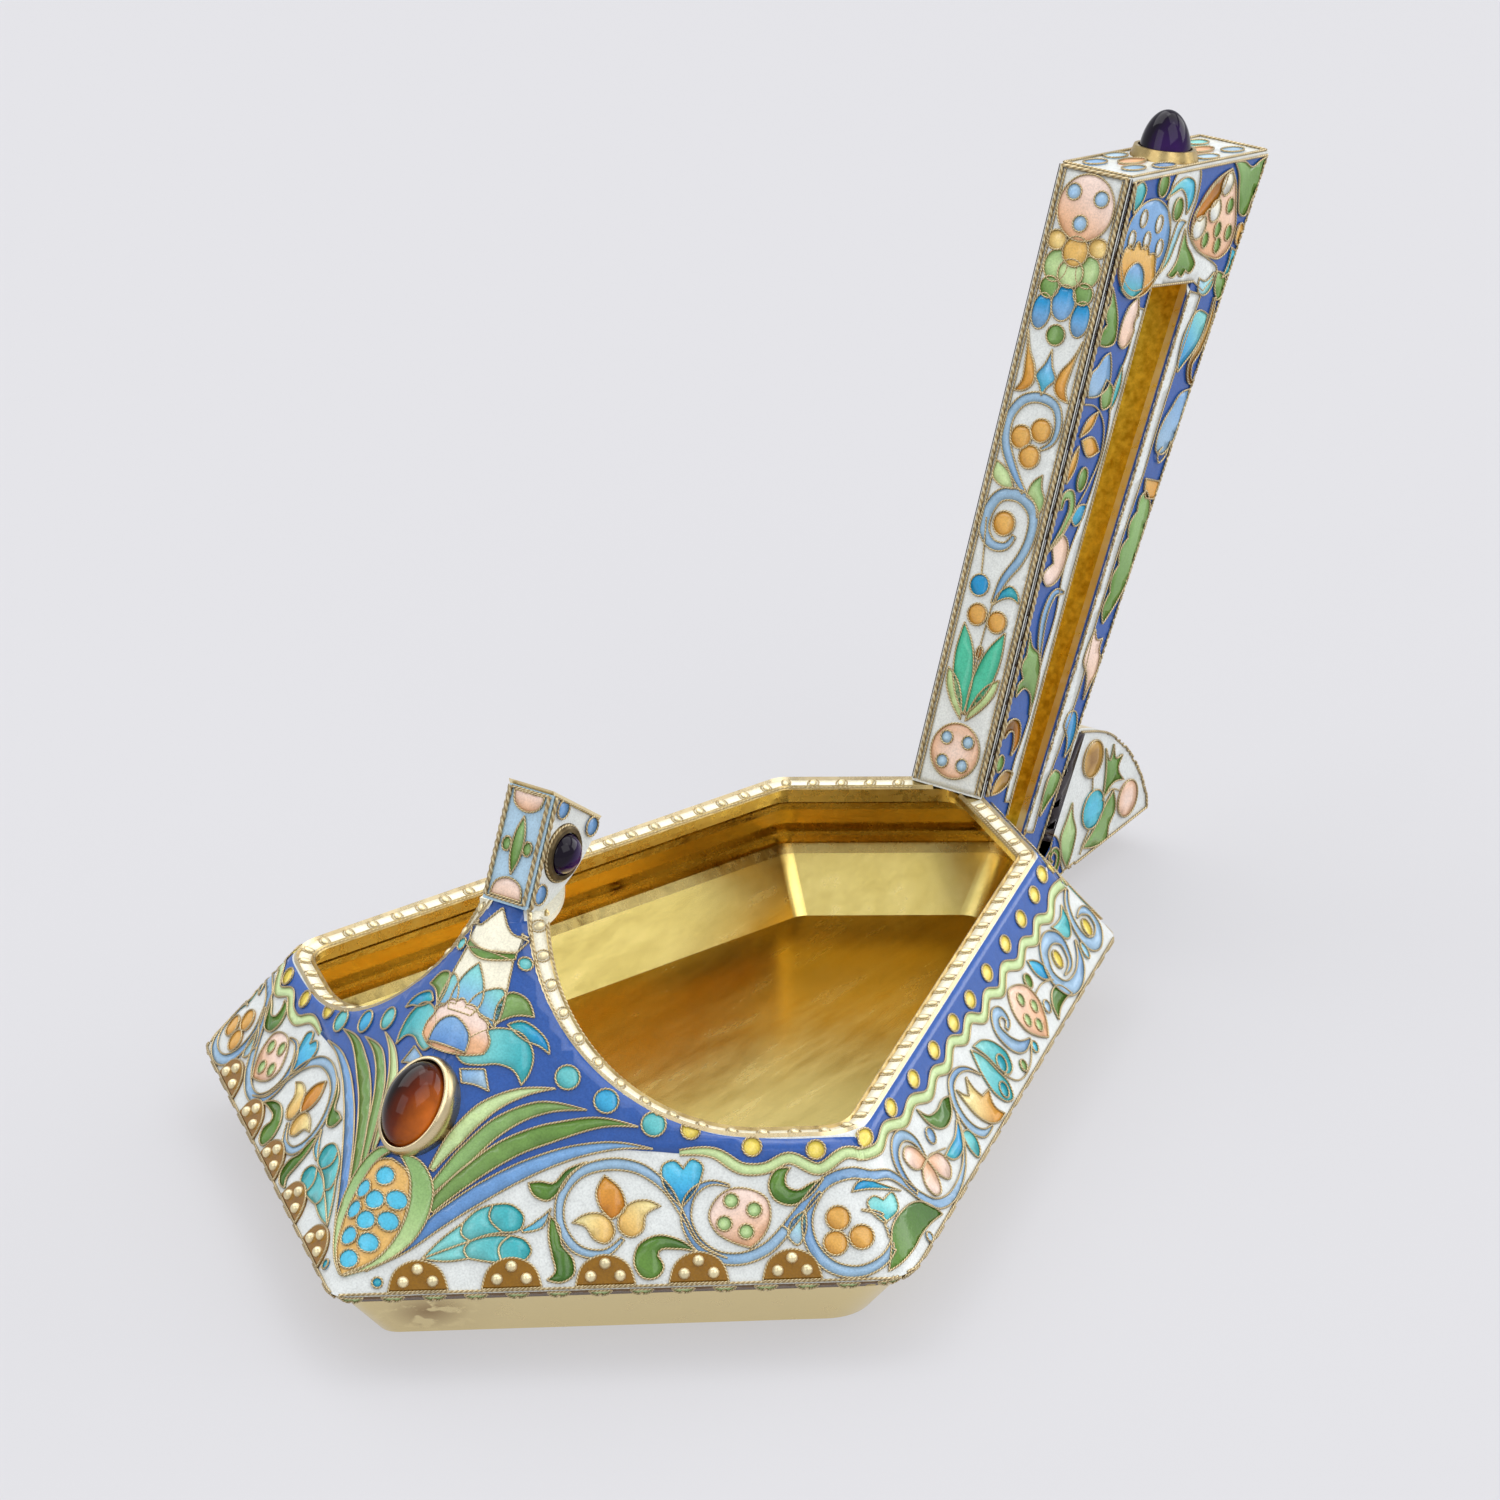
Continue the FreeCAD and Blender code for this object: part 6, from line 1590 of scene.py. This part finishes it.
def corner_panel(front, side):
    """A sheet that stands square to the corner between two facets."""
    facing = front.normal + side.normal
    level = (-facing[1], facing[0], 0)
    return Panel("corner_right", SHOULDER, level, np.cross(facing, level),
                 ["front_enamel_right", "side_enamel_right"], "enamel_white", "corner_left", 0.5)


def hull_panels():
    facets = [facet_panel(*facet) for facet in FACETS]
    front, side, rear = facets
    draw_front(front)
    draw_side(side)
    draw_rear(rear)
    corner = corner_panel(front, side)
    draw_corner(corner, front, side)

    ridge = front.up - front.across * front.up[0] / front.across[0]
    prow = Panel("prow", PROW, (1, 0, 0), ridge, ["front_enamel_right", "front_enamel_left"],
                 "enamel_white", grid=0.45)
    draw_prow(prow)
    smooth_stone("garnet", prow.normal, prow.up, GARNET, (0.9, -0.4), "garnet_stone")
    smooth_bezel("garnet_bezel", "garnet", prow.normal, prow.up, "gilt_wire")

    girths = []
    for (name, start, end), facet in zip(FACETS, facets):
        edge = Panel(f"girth_{name}_right", start, facet.across, (0, 0, 1), ["girth_band"],
                     "gilt_pale", f"girth_{name}_left")
        draw_girth(edge, np.linalg.norm(end - start))
        girths.append(edge)
    rim = RimPanel("rim_right", ["rim_band"], "enamel_cream", "rim_left")
    draw_rim(rim)
    return [*facets, corner, prow, *girths, rim]


def handle_panels():
    front = Panel("handle_front", (0, 44.9, RIM_Z), (1, 0, 0), HANDLE_LEAN, ["handle_front_enamel"],
                  "enamel_white")
    draw_handle_front(front)
    side = Panel("handle_right", (HANDLE_HALF, 40.0, GIRTH_Z), (0, 0.9122, -0.4097), HANDLE_LEAN,
                 ["handle_right_enamel"], "enamel_cobalt", "handle_left")
    draw_handle_side(side)
    top = Panel("handle_top", (0, 71.8, 78.1), (1, 0, 0), (0, 28.5, -5.2), ["handle_top_enamel"],
                "enamel_white")
    draw_handle_top(top)
    smooth_stone("top_amethyst", top.normal, top.up, DEEP_AMETHYST, (0.5, -0.5), "amethyst_stone")
    back = Panel("handle_back", (0, 56.0, 7.3), (-1, 0, 0), (0, 100.3 - 56.0, 72.9 - 7.3),
                 ["handle_back_enamel"], "enamel_white")
    draw_handle_back(back)
    return [front, side, top, back]


def post_panels():
    front = Panel("post_front", (0, POST_Y, POST_Z), (1, 0, 0), (0, 4.6, 10), ["post_front_enamel"],
                  "enamel_sky")
    draw_post_front(front)
    side = Panel("post_right", (POST_HALF, POST_Y, POST_Z), (0, 1, 0), (0, 0, 1),
                 ["post_right_enamel"], "enamel_white", "post_left")
    draw_post_side(side)
    for name, sign in (("right", 1), ("left", -1)):
        smooth_stone(f"post_amethyst_{name}", np.array([sign, 0, 0]), np.array([0, 0, 1]), AMETHYST,
                     (0.5, -0.5), "amethyst_stone")
    return [front, side]


def tail_panels():
    """The tail's side, and a painted shadow over the slit between it and the handle."""
    tail = Panel("tail_right", (HANDLE_HALF, 0, 0), (0, 1, 0), (0, 0, 1), ["tail_right_enamel"],
                 "enamel_white", "tail_left")
    draw_tail(tail)
    nodes = [f"{name}_{kind}" for name in ("tail_right", "handle_right", "handle_back")
             for kind in ("enamel", "plate")]
    slit = Panel("slit_shadow_right", (HANDLE_HALF, 0, 0), (0, 1, 0), (0, 0, 1), nodes, "gilt_pale",
                 "slit_shadow_left")
    # a dark sheet of painted shadow over the slit between the tail and the handle's back
    slit.ground([(56.5, 7.4, 1), (58.0, 6.4, 1), (65.2, 18.0, 1), (64.1, 18.6, 1)], "painted_slit_shadow", 1)
    return [tail, slit]


make_camera()
make_world()
make_floor()
for lamp in LAMPS:
    make_lamp(*lamp)
bpy.context.scene.view_settings.view_transform = "Standard"
dress_nodes()
for panel in [*hull_panels(), *handle_panels(), *post_panels(), *tail_panels()]:
    panel.finish()
